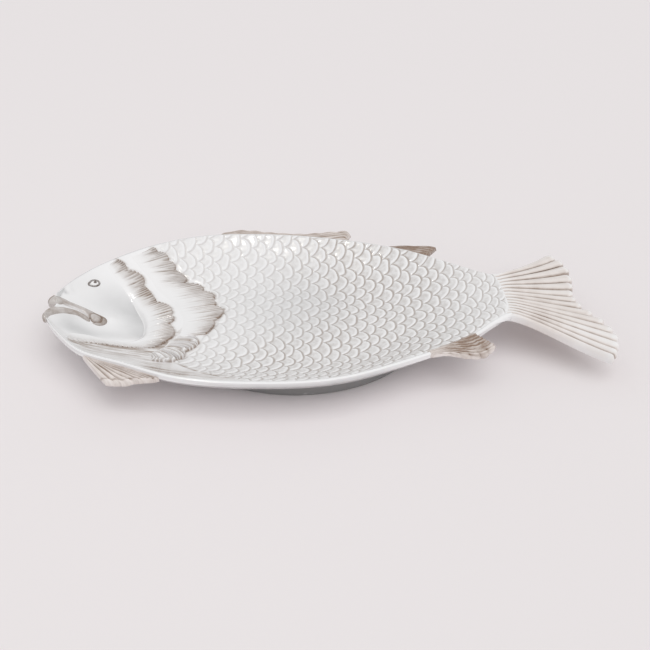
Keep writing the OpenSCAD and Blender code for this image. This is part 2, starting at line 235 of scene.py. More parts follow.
# Outlines of the face pieces, as shares of the dish length from the snout
# and of the half width from the axis
gillFront = [
    (0.096, 0.532), (0.111, 0.485), (0.132, 0.4), (0.157, 0.315), (0.18, 0.19), (0.197, 0.05),
    (0.2, -0.085), (0.192, -0.2), (0.166, -0.236), (0.135, -0.221), (0.089, -0.211), (0.052, -0.255),
]
gillRear = [
    (0.118, 0.618), (0.15, 0.592), (0.18, 0.515), (0.204, 0.4), (0.238, 0.275), (0.262, 0.1),
    (0.269, -0.06), (0.263, -0.185), (0.229, -0.292), (0.178, -0.318), (0.115, -0.322), (0.057, -0.425),
]
collarFront = [
    (0.143, 0.668), (0.162, 0.605), (0.187, 0.53), (0.212, 0.41),
    (0.246, 0.28), (0.27, 0.1), (0.277, -0.06), (0.272, -0.17),
]
collarRear = [
    (0.194, 0.803), (0.232, 0.747), (0.27, 0.61), (0.318, 0.54),
    (0.348, 0.385), (0.366, 0.18), (0.355, 0.01), (0.335, -0.135),
]
throatFront = [
    (0.276, -0.136), (0.262, -0.205), (0.257, -0.26), (0.248, -0.3), (0.24, -0.338), (0.226, -0.385),
]
throatRear = [
    (0.322, -0.165), (0.328, -0.25), (0.309, -0.34), (0.297, -0.45), (0.275, -0.515), (0.238, -0.53),
]

# Soft modelling of the face that is part of the dish
face = {
    "creaseDepth": 0.0056,
    "creaseAhead": 0.019,  # the cheek sinks over this length towards the gill cover
    "creaseBehind": 0.0050,  # and rises again over this one
    "creaseSoft": 0.0024,
    "creaseSpan": (0.12, 0.62),  # stretch of the gill cover's front line that it follows
    "creaseTop": (0.066, 0.042),  # where it has faded out at the top, and over how far
    "creaseBottom": (-0.030, 0.022),
    # x from the snout, y from the axis, width, height
    "mouthBump": (0.0608, 0.0055, 0.0085, 0.0024),
    "nostrilPit": (0.0118, 0.0246, 0.0016, -0.0012),
    "nostrilSwell": (0.0160, 0.0298, 0.0030, 0.0017),
    "jawSwell": (0.036, -0.020, 0.014, 0.0010),
}
ridgeX, ridgeY = trackLine(gillFront, np.linspace(*face["creaseSpan"], 33))


def creaseShare(s, y):  # 1 in the crease in front of the gill cover
    x = s * bodyLength
    away, side = lineDistance(ridgeX * bodyLength, ridgeY * halfWidth, x, y)
    top, bottom = face["creaseTop"], face["creaseBottom"]
    span = ease((top[0] - y) / top[1]) * ease((y - bottom[0]) / bottom[1])
    run = np.where(side < 0, face["creaseAhead"], face["creaseBehind"])
    off = np.hypot(away, face["creaseSoft"]) - face["creaseSoft"]
    return np.exp(-off / run) * span


def faceRelief(s, y):
    x = s * bodyLength
    relief = -face["creaseDepth"] * creaseShare(s, y)
    for name in ("mouthBump", "nostrilPit", "nostrilSwell", "jawSwell"):
        midX, midY, width, height = face[name]
        relief = relief + height * bell(np.hypot(x - midX, y - midY), width)
    return relief


def dishTop(s, y):  # glazed surface without the scales, which the face pieces sit on
    return wellHeight(s, y) + lipForm(s, y) + faceRelief(s, y)


# Scales: rounded lobes in staggered rows, each row lapping the next one towards the tail
scales = {
    "length": 0.0200,  # from one scale to the next on the same line
    "tailLength": 0.0142,
    "width": 0.0182,
    "tailWidth": 0.0215,
    "changeFrom": 0.8,  # where they start to change towards the tail
    "changeTo": 1.02,
    "lobe": 0.54,  # reach of a lobe in scale lengths
    "fullness": 2.4,  # 2 is an ellipse
    "height": 0.0021,
    "round": 0.45,  # share of a lobe that rounds down to its edge
    "wander": 0.07,
    # by the belly they point outwards: place from the snout and the axis, reach each way, angle
    "turn": (0.180, -0.078, 0.100, 0.052, math.radians(15)),
    "rimFrom": 0.0065,  # they fade out towards the rim of the belly side
    "rimTo": 0.016,
    "backRimFrom": 0.0004,
    "backRimTo": 0.003,
    "frontFade": 0.004,
    "tailFade": 0.007,
    "tailBow": 0.014,  # they end sooner at the sides of the tail root
    "tone": 0.28,  # wash by the head
    "deeper": 0.44,  # and how much more towards the tail
    # line drawn along a lobe's edge, in lobes: where it starts outside, is full, and ends inside
    "lineOutside": 0.24,
    "lineFull": 0.04,
    "lineInside": 0.09,
    "lineThin": 0.38,  # its breadth at the sides of a lobe
    # places behind the frills where the scales start: share of half width, then share of length
    "front": [
        (-1.0, 0.47), (-0.88, 0.435), (-0.7, 0.35), (-0.55, 0.3), (-0.47, 0.272), (-0.435, 0.298),
        (-0.31, 0.328), (-0.185, 0.331), (-0.135, 0.338), (0.01, 0.358), (0.18, 0.369), (0.385, 0.351),
        (0.54, 0.321), (0.61, 0.273), (0.745, 0.239), (0.812, 0.21), (1.0, 0.19),
    ],
}


def tailChange(s):  # 0 on the body, 1 past the tail root
    return ease((s - scales["changeFrom"]) / (scales["changeTo"] - scales["changeFrom"]))


def scaleGrid(s, y):
    midX, midY, wide, high, angle = scales["turn"]
    offX, offY = s * bodyLength - midX, y - midY
    turn = angle * bell(np.hypot(offX / wide, offY / high), 1)
    s = (midX + offX * np.cos(turn) - offY * np.sin(turn)) / bodyLength
    y = midY + offX * np.sin(turn) + offY * np.cos(turn)
    width = blend(scales["width"], scales["tailWidth"], tailChange(s))
    steps = np.linspace(0, 1.05, 600)
    pitch = blend(scales["length"], scales["tailLength"], tailChange(steps))
    count = np.concatenate([[0], np.cumsum(np.diff(steps) * bodyLength / pitch[1:])])
    along = np.interp(s, steps, count)
    across = (y - (backEdge(s) + bellyEdge(s)) / 2) / width
    sway = scales["wander"]
    alongSway = np.sin(2.3 * across + 0.9 * along) + 0.6 * np.sin(4.1 * across - 1.7 * along + 1)
    acrossSway = np.sin(1.9 * along - 1.3 * across + 2) + 0.6 * np.sin(3.7 * along + 2.6 * across)
    return along + sway * alongSway, across + sway * acrossSway


def scaleFront(y):  # place along the dish where the scales start
    return np.interp(y / halfWidth, *np.array(scales["front"]).T)


def scaleMask(s, y):
    behind = ease(((s - scaleFront(y)) * bodyLength) / scales["frontFade"])
    gap = sideGap(s, y)
    nearSide = bellySide(y) * blend(1, 0.5, ease((s - 0.7) / 0.2))
    first = blend(scales["backRimFrom"], scales["rimFrom"], nearSide)
    last = blend(scales["backRimTo"], scales["rimTo"], nearSide)
    middle, half = (backEdge(s) + bellyEdge(s)) / 2, (backEdge(s) - bellyEdge(s)) / 2
    ahead = 1 - scales["tailBow"] * ((y - middle) / half) ** 2 - s
    return behind * ease((gap - first) / (last - first)) * ease(ahead / scales["tailFade"])


def scaleTone(s, y):  # the wash gets deeper from the head towards the tail
    start = blend(0.26, 0.43, ease((y / halfWidth + 0.6) / 0.8))
    atRoot = blend(1, 0.55, ease((s - 0.8) / 0.15))
    return scales["tone"] + scales["deeper"] * ease((s - start) / 0.25) * atRoot


def lobeInside(along, across, row):  # 1 in the middle of a lobe, 0 on its edge, below 0 outside it
    centre = row * 0.5
    off = across - np.modf(centre)[0]
    sideways = 2 * np.abs(off - np.round(off))
    ahead = np.maximum(along - centre, 0) / scales["lobe"]
    return 1 - (sideways ** scales["fullness"] + ahead ** scales["fullness"]) ** (1 / scales["fullness"])


def scaleRelief(along, across):
    row = np.floor(2 * along)
    inner = [lobeInside(along, across, row + k) for k in (-2, -1, 0, 1)]
    onFirst = inner[1] > 0
    onSecond = ~onFirst & (inner[2] > 0)
    toEdge = np.where(onFirst, inner[1], np.where(onSecond, inner[2], inner[3]))
    fromUpper = np.where(onSecond, -inner[1], np.minimum(-inner[1], -inner[2]))
    fromUpper = np.maximum(np.where(onFirst, -inner[0], fromUpper), 0)
    climb = fromUpper / (fromUpper + toEdge + 1e-6)
    rounded = np.sqrt(1 - np.maximum(0, 1 - toEdge / scales["round"]) ** 2)
    return scales["height"] * (0.2 + 0.8 * climb) * rounded


# Sheets: a flat grid of quads, later bent over the dish
def unitSheet(bm, alongCount, acrossCount, level):
    made = bmesh.ops.create_grid(bm, x_segments=alongCount, y_segments=acrossCount, size=0.5)
    bmesh.ops.translate(bm, verts=made["verts"], vec=(0.5, 0.5, level))


def closedSheet(alongCount, acrossCount):
    bm = bmesh.new()
    unitSheet(bm, alongCount, acrossCount, 0)
    grown = bmesh.ops.extrude_face_region(bm, geom=bm.faces[:])
    lower = [part for part in grown["geom"] if isinstance(part, bmesh.types.BMVert)]
    bmesh.ops.translate(bm, verts=lower, vec=(0, 0, -1))
    return bm


def readSheet(bm):
    spots = np.array([vert.co for vert in bm.verts])
    return spots[:, 0], spots[:, 1], spots[:, 2] < -0.5


def bendSheet(bm, x, y, z):
    for vert, spot in zip(bm.verts, np.column_stack([x, y, z]).tolist()):
        vert.co = spot


# Rings: a flat profile is stood up and spun, then drawn out to its real shape
# Gives the turn round the ring, the distance from the profile's middle, and the height
def spinProfile(bm, level, steps):
    radius = 2
    upright = mathutils.Matrix.Rotation(math.pi / 2, 3, "X")
    bmesh.ops.rotate(bm, verts=bm.verts[:], matrix=upright, cent=(0, 0, 0))
    bmesh.ops.translate(bm, verts=bm.verts[:], vec=(radius, 0, level))
    edges = bm.edges[:]
    bmesh.ops.delete(bm, geom=bm.faces[:], context="FACES_ONLY")
    bmesh.ops.spin(bm, geom=edges, cent=(0, 0, 0), axis=(0, 0, 1), angle=2 * math.pi,
                   steps=steps, use_merge=True)
    x, y, z = np.array([vert.co for vert in bm.verts]).T
    return np.arctan2(y, x), np.hypot(x, y) - radius, z


# Marks are values for the glaze at each point, and the grid is its own pattern map
def finishPiece(bm, name, node, material, marks, grid, sharpAngle=50):
    bmesh.ops.recalc_face_normals(bm, faces=bm.faces[:])
    mesh = bpy.data.meshes.new(name)
    bm.to_mesh(mesh)
    bm.free()
    for title, values in marks.items():
        mark = mesh.attributes.new(title, "FLOAT", "POINT")
        mark.data.foreach_set("value", np.asarray(values, np.float32))
    corners = np.empty(len(mesh.loops), np.int32)
    mesh.loops.foreach_get("vertex_index", corners)
    layer = mesh.uv_layers.new(name="grid")
    layer.data.foreach_set("uv", np.column_stack(grid)[corners].astype(np.float32).ravel())
    mesh.shade_smooth()
    if sharpAngle is not None:
        mesh.set_sharp_from_angle(angle=math.radians(sharpAngle))
    mesh.materials.append(material)
    piece = bpy.data.objects.new(name, mesh)
    scene.collection.objects.link(piece)
    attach(piece, "root")
    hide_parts(node)
    print(name, "made:", len(mesh.polygons), "faces")


# Glaze: clear gloss over white clay, with a taupe wash that stays in the recesses
glaze = {
    "white": (0.872, 0.858, 0.866, 1),
    "taupe": (0.29, 0.215, 0.168, 1),  # wash on the scales and frills
    "brown": (0.26, 0.172, 0.124, 1),  # on the fins
    "paleFin": (0.785, 0.72, 0.692, 1),  # and where it is thin there
    "lip": (0.24, 0.172, 0.13, 1),
    "umber": (0.12, 0.09, 0.073, 1),  # eye
    # painted shade of the foot under the overhanging rim
    "footShadeGrey": (0.25, 0.247, 0.245, 1),
    "paintedShade": (0.40, 0.397, 0.402, 1),  # painted shade colour, for hollows, creases, scale middles and the rim's outer face
    "scalePaintedShade": 0.04,  # and a little painted shade in the middles of the scales
    "roughness": 0.2,
    "roughnessSpread": 0.05,
    "coat": 0.5,
    "coatRoughness": 0.06,
    "mottleScale": 70,
    "brushScale": (26, 230, 60),  # brush marks run along the dish
    "peelScale": 160,  # orange peel of the gloss
    "peelHeight": 0.0008,
    "grooveHeight": 0.0006,
}


def calc(tree, operation, *values):
    node = tree.nodes.new("ShaderNodeMath")
    node.operation = operation
    for socket, value in zip(node.inputs, values):
        if isinstance(value, (int, float)):
            socket.default_value = value
        else:
            tree.links.new(value, socket)
    return node.outputs[0]


def spread(tree, value, fromLow, fromHigh, toLow=0.0, toHigh=1.0, kind="SMOOTHSTEP"):
    node = tree.nodes.new("ShaderNodeMapRange")
    node.interpolation_type = kind
    tree.links.new(value, node.inputs["Value"])
    limits = {"From Min": fromLow, "From Max": fromHigh, "To Min": toLow, "To Max": toHigh}
    for socket, number in limits.items():
        node.inputs[socket].default_value = number
    return node.outputs["Result"]


def clamped(tree, value):
    return calc(tree, "MINIMUM", calc(tree, "MAXIMUM", value, 0.0), 1.0)


def readMark(tree, title):
    node = tree.nodes.new("ShaderNodeAttribute")
    node.attribute_name = title
    return node.outputs["Fac"]


def objectPlace(tree):
    return tree.nodes.new("ShaderNodeTexCoord").outputs["Object"]


def noise(tree, place, scale, detail=3.0, rough=0.55):
    node = tree.nodes.new("ShaderNodeTexNoise")
    tree.links.new(place, node.inputs["Vector"])
    node.inputs["Scale"].default_value = scale
    node.inputs["Detail"].default_value = detail
    node.inputs["Roughness"].default_value = rough
    return node.outputs["Fac"]


def stretched(tree, place, factors):
    node = tree.nodes.new("ShaderNodeMapping")
    tree.links.new(place, node.inputs["Vector"])
    node.inputs["Scale"].default_value = factors
    return node.outputs["Vector"]


def gridPlace(tree):
    node = tree.nodes.new("ShaderNodeUVMap")
    node.uv_map = "grid"
    return node.outputs["UV"]


def mixColour(tree, factor, first, second):
    node = tree.nodes.new("ShaderNodeMix")
    node.data_type = "RGBA"
    tree.links.new(factor, node.inputs["Factor"])
    for socket, value in ((node.inputs["A"], first), (node.inputs["B"], second)):
        if isinstance(value, tuple):
            socket.default_value = value
        else:
            tree.links.new(value, socket)
    return node.outputs["Result"]


def bumped(tree, height, strength, distance, below=None):
    node = tree.nodes.new("ShaderNodeBump")
    node.inputs["Strength"].default_value = strength
    node.inputs["Distance"].default_value = distance
    tree.links.new(height, node.inputs["Height"])
    if below is not None:
        tree.links.new(below, node.inputs["Normal"])
    return node.outputs["Normal"]


# Scale lines drawn from the same lobes as the relief, so they stay crisp between the mesh points
def scaleLines(tree, along, across):
    row = calc(tree, "FLOOR", calc(tree, "MULTIPLY", along, 2.0))
    bands = []
    insides = []
    for step in (-1.0, 0.0, 1.0):
        centre = calc(tree, "MULTIPLY", calc(tree, "ADD", row, step), 0.5)
        off = calc(tree, "SUBTRACT", across, calc(tree, "FRACT", centre))
        sideways = calc(tree, "MULTIPLY", calc(tree, "PINGPONG", off, 0.5), 2.0)
        ahead = calc(tree, "MAXIMUM", calc(tree, "SUBTRACT", along, centre), 0.0)
        ahead = calc(tree, "DIVIDE", ahead, scales["lobe"])
        full = scales["fullness"]
        reach = calc(tree, "ADD", calc(tree, "POWER", sideways, full), calc(tree, "POWER", ahead, full))
        reach = calc(tree, "POWER", reach, 1 / full)
        inside = calc(tree, "SUBTRACT", 1.0, reach)
        # the line is broad at the tip of a lobe and runs out at its sides
        front = calc(tree, "DIVIDE", ahead, reach)
        breadth = calc(tree, "MULTIPLY_ADD", front, 1 - scales["lineThin"], scales["lineThin"])
        level = calc(tree, "DIVIDE", inside, breadth)
        outer = spread(tree, level, -scales["lineOutside"], -scales["lineFull"])
        innerSide = spread(tree, level, 0.0, scales["lineInside"], 1.0, 0.0)
        band = calc(tree, "MINIMUM", outer, innerSide)
        bands.append(calc(tree, "MULTIPLY", band, spread(tree, front, 0.05, 0.6, 0.4, 1.0)))
        insides.append(inside)
    pastFirst = calc(tree, "LESS_THAN", insides[0], 0.0)
    pastSecond = calc(tree, "MULTIPLY", pastFirst, calc(tree, "LESS_THAN", insides[1], 0.0))
    second = calc(tree, "MULTIPLY", bands[1], pastFirst)
    third = calc(tree, "MULTIPLY", bands[2], pastSecond)
    line = calc(tree, "MAXIMUM", bands[0], calc(tree, "MAXIMUM", second, third))
    depth = calc(tree, "MULTIPLY_ADD", calc(tree, "MAXIMUM", insides[1], 0.0), pastFirst,
                 calc(tree, "MAXIMUM", insides[0], 0.0))
    depth = calc(tree, "MULTIPLY_ADD", calc(tree, "MAXIMUM", insides[2], 0.0), pastSecond, depth)
    return line, depth


def newGlaze(name):
    material = bpy.data.materials.new(name)
    material.use_nodes = True
    tree = material.node_tree
    shader = tree.nodes["Principled BSDF"]
    shader.inputs["Coat Weight"].default_value = glaze["coat"]
    shader.inputs["Coat Roughness"].default_value = glaze["coatRoughness"]
    return material, tree, shader


def washColour(tree, wash, pale, full):  # white, then a thin wash, then the full colour
    if pale is None:
        return mixColour(tree, wash, glaze["white"], full)
    thin = mixColour(tree, spread(tree, wash, 0.0, 0.3, kind="LINEAR"), glaze["white"], pale)
    return mixColour(tree, spread(tree, wash, 0.3, 1.0, kind="LINEAR"), thin, full)


def glazeSurface(tree, shader, wash, colour, groove=None, pale=None, paintedShade=None):
    place = objectPlace(tree)
    tinted = washColour(tree, wash, pale, colour)
    # painted shade greys the washed colour
    if paintedShade is not None:
        tinted = mixColour(tree, paintedShade, tinted, glaze["paintedShade"])
    tree.links.new(tinted, shader.inputs["Base Color"])
    peel = noise(tree, place, glaze["peelScale"], 2.0)
    smoothest = glaze["roughness"] - glaze["roughnessSpread"]
    roughest = glaze["roughness"] + glaze["roughnessSpread"]
    roughness = spread(tree, peel, 0.3, 0.7, smoothest, roughest, "LINEAR")
    tree.links.new(roughness, shader.inputs["Roughness"])
    normal = bumped(tree, peel, 0.12, glaze["peelHeight"])
    if groove is not None:
        normal = bumped(tree, groove, 0.6, glaze["grooveHeight"], normal)
    tree.links.new(normal, shader.inputs["Normal"])


def washedGlaze(name, colour, streaks=(1.2, 0.8, 1), pale=None):
    material, tree, shader = newGlaze(name)
    place = objectPlace(tree)
    mottle = spread(tree, noise(tree, place, glaze["mottleScale"]), 0.3, 0.7, 0.75, 1.15, "LINEAR")
    streak = noise(tree, stretched(tree, gridPlace(tree), streaks), 1.0, 4.0, 0.65)
    streak = spread(tree, streak, 0.32, 0.68, 0.6, 1.2, "LINEAR")
    wash = calc(tree, "MULTIPLY", readMark(tree, "wash"), calc(tree, "MULTIPLY", mottle, streak))
    glazeSurface(tree, shader, clamped(tree, wash), colour, pale=pale)
    return material


def dishGlaze():
    material, tree, shader = newGlaze("dishGlaze")
    place = objectPlace(tree)
    split = tree.nodes.new("ShaderNodeSeparateXYZ")
    tree.links.new(gridPlace(tree), split.inputs["Vector"])
    line, depth = scaleLines(tree, split.outputs["X"], split.outputs["Y"])
    mask = readMark(tree, "scaleMask")
    tone = calc(tree, "MULTIPLY", readMark(tree, "scaleTone"), mask)
    mottle = noise(tree, place, glaze["mottleScale"] * 3, 4.0)
    lineWash = calc(tree, "MULTIPLY", line, tone)
    lineWash = calc(tree, "MULTIPLY", lineWash, spread(tree, mottle, 0.2, 0.7, 0.75, 1.1))
    # mottled taupe in the middles of the scales, kept off their rims, which leaves a painted highlight
    # along the raised edges
    speck = spread(tree, mottle, 0.3, 0.7, 0.3, 1.0)
    speck = calc(tree, "MULTIPLY", speck, spread(tree, depth, 0.12, 0.45))
    bodyWashAndRimHighlight = calc(tree, "MULTIPLY", calc(tree, "MULTIPLY", speck, tone), 0.5)
    brushed = noise(tree, stretched(tree, place, glaze["brushScale"]), 1.0, 5.0, 0.7)
    painted = calc(tree, "MULTIPLY", readMark(tree, "wash"), spread(tree, brushed, 0.36, 0.62, 0.1, 1.3))
    wash = calc(tree, "ADD", calc(tree, "MAXIMUM", lineWash, bodyWashAndRimHighlight), painted)
    groove = calc(tree, "SUBTRACT", 1.0, calc(tree, "MULTIPLY", line, mask))
    # painted shade from the mark, plus a little in the middles of the scales, varied in clouds
    cloud = spread(tree, noise(tree, place, glaze["mottleScale"] * 0.5), 0.3, 0.7, 0.8, 1.2, "LINEAR")
    inScale = calc(tree, "MULTIPLY", spread(tree, depth, 0.08, 0.35), mask)
    inScale = calc(tree, "MULTIPLY", inScale, glaze["scalePaintedShade"])
    paintedShade = calc(tree, "MULTIPLY", calc(tree, "ADD", readMark(tree, "paintedShade"), inScale), cloud)
    glazeSurface(tree, shader, clamped(tree, wash), glaze["taupe"], groove, paintedShade=paintedShade)
    return material


# Taupe brushed on the dish itself, and painted shadow along the frills' rear edges; the frills follow
# further down
dishBrush = {
    "throat": 0.72,  # strength below the gill cover
    "throatReach": 0.05,
    "streak": 0.85,  # strength of the streaks beside the belly rim
    "streakFromRim": 0.020,
    "streakWidth": 0.014,
    "cleanRim": 0.007,  # the rim stays white
    "cleanFade": 0.004,
    "frontLine": 0.9,  # strength of the line in front of the lowest scales
    "frontLineWidth": 0.0016,
    "edgeShadowWidth": 0.0018,  # painted shadow line along the frills' rear edges
}


def dishWashAndShadow(s, y):
    x = s * bodyLength
    rearX, rearY = trackLine(gillRear, np.linspace(0.62, 1, 24))
    away, side = lineDistance(rearX * bodyLength, rearY * halfWidth, x, y)
    gap = sideGap(s, y)
    below = (side > 0) & (y < 0)
    throat = below * np.clip(1.1 - away / dishBrush["throatReach"], 0, 1)
    throat = throat * ease((0.31 - s) / 0.06) * ease((s - 0.04) / 0.03)
    streak = bell(gap - dishBrush["streakFromRim"], dishBrush["streakWidth"]) * (y < 0)
    streak = streak * ease((s - 0.2) / 0.06) * ease((0.47 - s) / 0.16)
    keepRim = ease((gap - dishBrush["cleanRim"]) / dishBrush["cleanFade"])
    low = -y / halfWidth
    frontLine = bell((s - scaleFront(y)) * bodyLength, dishBrush["frontLineWidth"])
    frontLine = frontLine * ease((low - 0.5) / 0.06) * ease((0.86 - low) / 0.12)
    wash = (dishBrush["throat"] * throat + dishBrush["streak"] * streak) * keepRim
    wash = wash + dishBrush["frontLine"] * frontLine
    # painted shadow behind each frill: the frill, the stretch of its rear edge, and strength
    frillShadows = (
        (gillCover, 0, 0.68, 0.55), (gillCover, 0.68, 1, 0.15),
        (shoulderCollar, 0, 1, 0.55), (throatFrill, 0, 0.6, 0.4),
    )
    near = s < 0.45
    for spec, first, last, strength in frillShadows:
        edgeX, edgeY = frillEdge(spec, np.linspace(first, last, 200))
        frillShadow = bell(lineDistance(edgeX, edgeY, x[near], y[near])[0], dishBrush["edgeShadowWidth"])
        wash[near] = np.maximum(wash[near], strength * frillShadow)
    return np.clip(wash, 0, 1)


# Painted shade in hollows of the face and the well: place from the snout and from the axis, width each way,
# strength
paintedShadeSpots = [
    (0.060, 0.032, 0.024, 0.022, 0.15),  # cheek
    (0.023, -0.015, 0.014, 0.012, 0.30),  # under the mouth
    (0.036, -0.028, 0.022, 0.010, 0.48),  # chin
    (0.066, -0.022, 0.018, 0.008, 0.16),  # jaw
    (0.260, 0.030, 0.060, 0.060, 0.22),  # floor of the well
    (0.0118, 0.0246, 0.0028, 0.0018, 0.5),  # nostril
]
# Painted shade: in the crease before the gill cover, the most it may reach there, a line along the back
# edge, and on the rim's outer face
paintedShadeParts = {
    "crease": 0.55,
    "most": 0.7,
    "backLine": 0.7,  # painted shade along the back edge, where the rim rolls away
    "backLineWidth": 0.0012,
    "wall": 0.65,  # painted shade on the outer face of the rim
    "wallHeight": 0.004,
    "wallFrom": (0.3, 0.15),  # place along the dish, and over how much it sets in
    "wallTo": (0.8, 0.12),
}


# Painted shade on top of the dish: in the crease, in the face's hollows and the well, and along the back
# edge; kept off the mouth bump
def topPaintedShade(s, y):
    x = s * bodyLength
    paintedShade = paintedShadeParts["crease"] * creaseShare(s, y)
    for midX, midY, wide, high, strength in paintedShadeSpots:
        paintedShade = paintedShade + strength * bell(np.hypot((x - midX) / wide, (y - midY) / high), 1)
    bumpX, bumpY, bumpWidth = face["mouthBump"][:3]
    bump = bell(np.hypot(x - bumpX, y - bumpY), 1.3 * bumpWidth)
    backLine = bell(backEdge(s) - y, paintedShadeParts["backLineWidth"])
    return np.clip(paintedShade * (1 - bump), 0, paintedShadeParts["most"]) + paintedShadeParts["backLine"] * backLine


# Painted shade on the outer face of the rim, over the middle stretch of the dish
def wallPaintedShade(s, gap):
    wall = paintedShadeParts["wall"] * bell(gap, paintedShadeParts["wallHeight"])
    first, firstRun = paintedShadeParts["wallFrom"]
    last, lastRun = paintedShadeParts["wallTo"]
    return wall * ease((s - first) / firstRun) * ease((last - s) / lastRun)


def sheetAcross(v, s):  # columns crowd in the rim lip
    lip = np.minimum(dish["lipLimit"], dish["lipWidth"] / ((backEdge(s) - bellyEdge(s)) / 2))
    share = dish["lipColumns"] / dish["columns"]
    low = -1 + lip * v / share
    high = 1 - lip * (1 - v) / share
    middle = (1 - lip) * (2 * (v - share) / (1 - 2 * share) - 1)
    t = np.where(v < share, low, np.where(v > 1 - share, high, middle))
    return blend(bellyEdge(s), backEdge(s), (t + 1) / 2)


def makeDish(material):
    bm = bmesh.new()
    unitSheet(bm, dish["rows"], dish["columns"], 0)
    unitSheet(bm, dish["underRows"], dish["underColumns"], -1)
    rimEdges = [edge for edge in bm.edges if edge.is_boundary]
    for edge in rimEdges:
        edge.smooth = False
    bmesh.ops.bridge_loops(bm, edges=rimEdges)
    u, v, under = readSheet(bm)
    s = u ** dish["crowding"]
    y = np.where(under, blend(bellyEdge(s), backEdge(s), v), sheetAcross(v, s))
    s = s + snoutEdge(y) / bodyLength * np.maximum(0, 1 - s / dish["recessRun"]) ** 2
    along, across = scaleGrid(s, y)
    mask = scaleMask(s, y) * ~under
    gap = np.minimum(rimGap(s, y), (1 - s) * bodyLength + dish["footRoundWidth"] * (s < 0.9))
    lowEdge = dish["footRound"] * np.maximum(0, 1 - gap / dish["footRoundWidth"]) ** 2
    lowEdge = lowEdge * (clayAt(s) / dish["clay"]) ** 2
    top = dishTop(s, y) + mask * scaleRelief(along, across)
    bottom = wellHeight(s, y) - clayAt(s) + lowEdge
    bendSheet(bm, snoutX + s * bodyLength, axisY + y, np.where(under, bottom, top))
    # painted shade: on the rim's outer face below, in hollows, creases and along the back edge on top
    paintedShade = np.where(under, wallPaintedShade(s, gap), topPaintedShade(s, y))
    # the wash mark also carries the painted shadow behind the frills
    marks = {"wash": dishWashAndShadow(s, y) * ~under, "scaleMask": mask, "scaleTone": scaleTone(s, y), "paintedShade": paintedShade}
    finishPiece(bm, "platterDish", "dish", material, marks, (along, across), None)


# Foot ring: a rounded bar of clay in an oval, flat on the table
foot = {
    "length": 0.250,
    "width": 0.194,
    "thickness": 0.009,
    "flare": 0.003,
    "middle": 0.542,  # place along the dish
    "bite": 0.0006,  # how far it is pressed into the dish
    "corner": 0.16,  # rounding of the bar, as a share of its thickness
    "steps": 160,
}


def makeFootRing(material):
    bm = bmesh.new()
    corners = bmesh.ops.create_grid(bm, x_segments=1, y_segments=1, size=0.5)["verts"]
    bmesh.ops.bevel(bm, geom=corners, offset=foot["corner"], offset_type="OFFSET", segments=5, profile=0.5,
                    affect="VERTICES", material=-1)
    bmesh.ops.subdivide_edges(bm, edges=[e for e in bm.edges if e.calc_length() > 0.3], cuts=4)
    turn, outwards, up = spinProfile(bm, 0.5, foot["steps"])
    reach = foot["flare"] * up - (0.5 - outwards) * foot["thickness"]
    x = foot["middle"] * bodyLength + (foot["length"] / 2 + reach) * np.cos(turn)
    y = (foot["width"] / 2 + reach) * np.sin(turn)
    seat = wellHeight(x / bodyLength, y) - dish["clay"] + foot["bite"]
    bendSheet(bm, snoutX + x, axisY + y, seat * up)
    # the foot is painted dark as shade, most just under the rim
    marks = {"wash": 1.5 + 0.2 * bell(up - 0.95, 0.25)}
    finishPiece(bm, "footRing", "foot_ring", material, marks, (turn * 3, up))


# Frills: thin sheets over the dish, smooth in front and fluted to a lobed rear edge
# A lobe is its end along the frill, the reach of its crest, and the reach of the notch after it
# Heights are in metres over the dish, places and widths in shares of the frill
gillCover = {
    "node": "gill_cover", "front": gillFront, "rear": gillRear, "rows": 640, "columns": 38,
    "edge": 0.0038, "lift": 0, "foldDepth": 0.0018,
    "flutes": 74, "fluteDepth": 0.0021, "slant": 0, "bow": 0, "ridges": False,
    "lobes": [
        (0.098, 1.0, 0.78), (0.21, 1.1, 0.9), (0.333, 0.98, 0.84), (0.438, 1.1, 0.97),
        (0.497, 1.03, 0.82), (0.64, 1.05, 1.0), (0.75, 1.04, 1.0), (1, 1.02, 1.0),
    ],
    "stroke": 0.75, "washFrom": 0.1, "washLoose": 0.6, "washRun": 0.5,
    "band": 0.78, "bandTone": 0.36, "upperTone": 0.2,
    "ridge": 0.0012, "ridgeSpan": (0.25, 0.74), "smoothFrom": (0.66, 0.76), "sinkFrom": 2,
}
shoulderCollar = {
    "node": "shoulder_collar", "front": collarFront, "rear": collarRear, "rows": 600, "columns": 38,
    "edge": 0.0036, "lift": 0, "foldDepth": 0.0018,
    "flutes": 64, "fluteDepth": 0.0021, "slant": 0.03, "bow": 0, "ridges": False,
    "lobes": [
        (0.062, 1.02, 0.95), (0.165, 1.06, 0.96), (0.233, 1.05, 0.94), (0.372, 1.02, 0.72),
        (0.495, 0.93, 0.87), (0.603, 1.02, 0.92), (0.655, 0.97, 0.92), (0.815, 1.1, 0.93), (1, 1.1, 1.05),
    ],
    "stroke": 0.75, "washFrom": 0.15, "washLoose": 0.6, "washRun": 0.45,
    "band": 0.78, "bandTone": 0.34, "upperTone": 0.05,
    "ridge": 0.0, "ridgeSpan": (0, 1), "smoothFrom": (2, 3), "sinkFrom": 2,
}
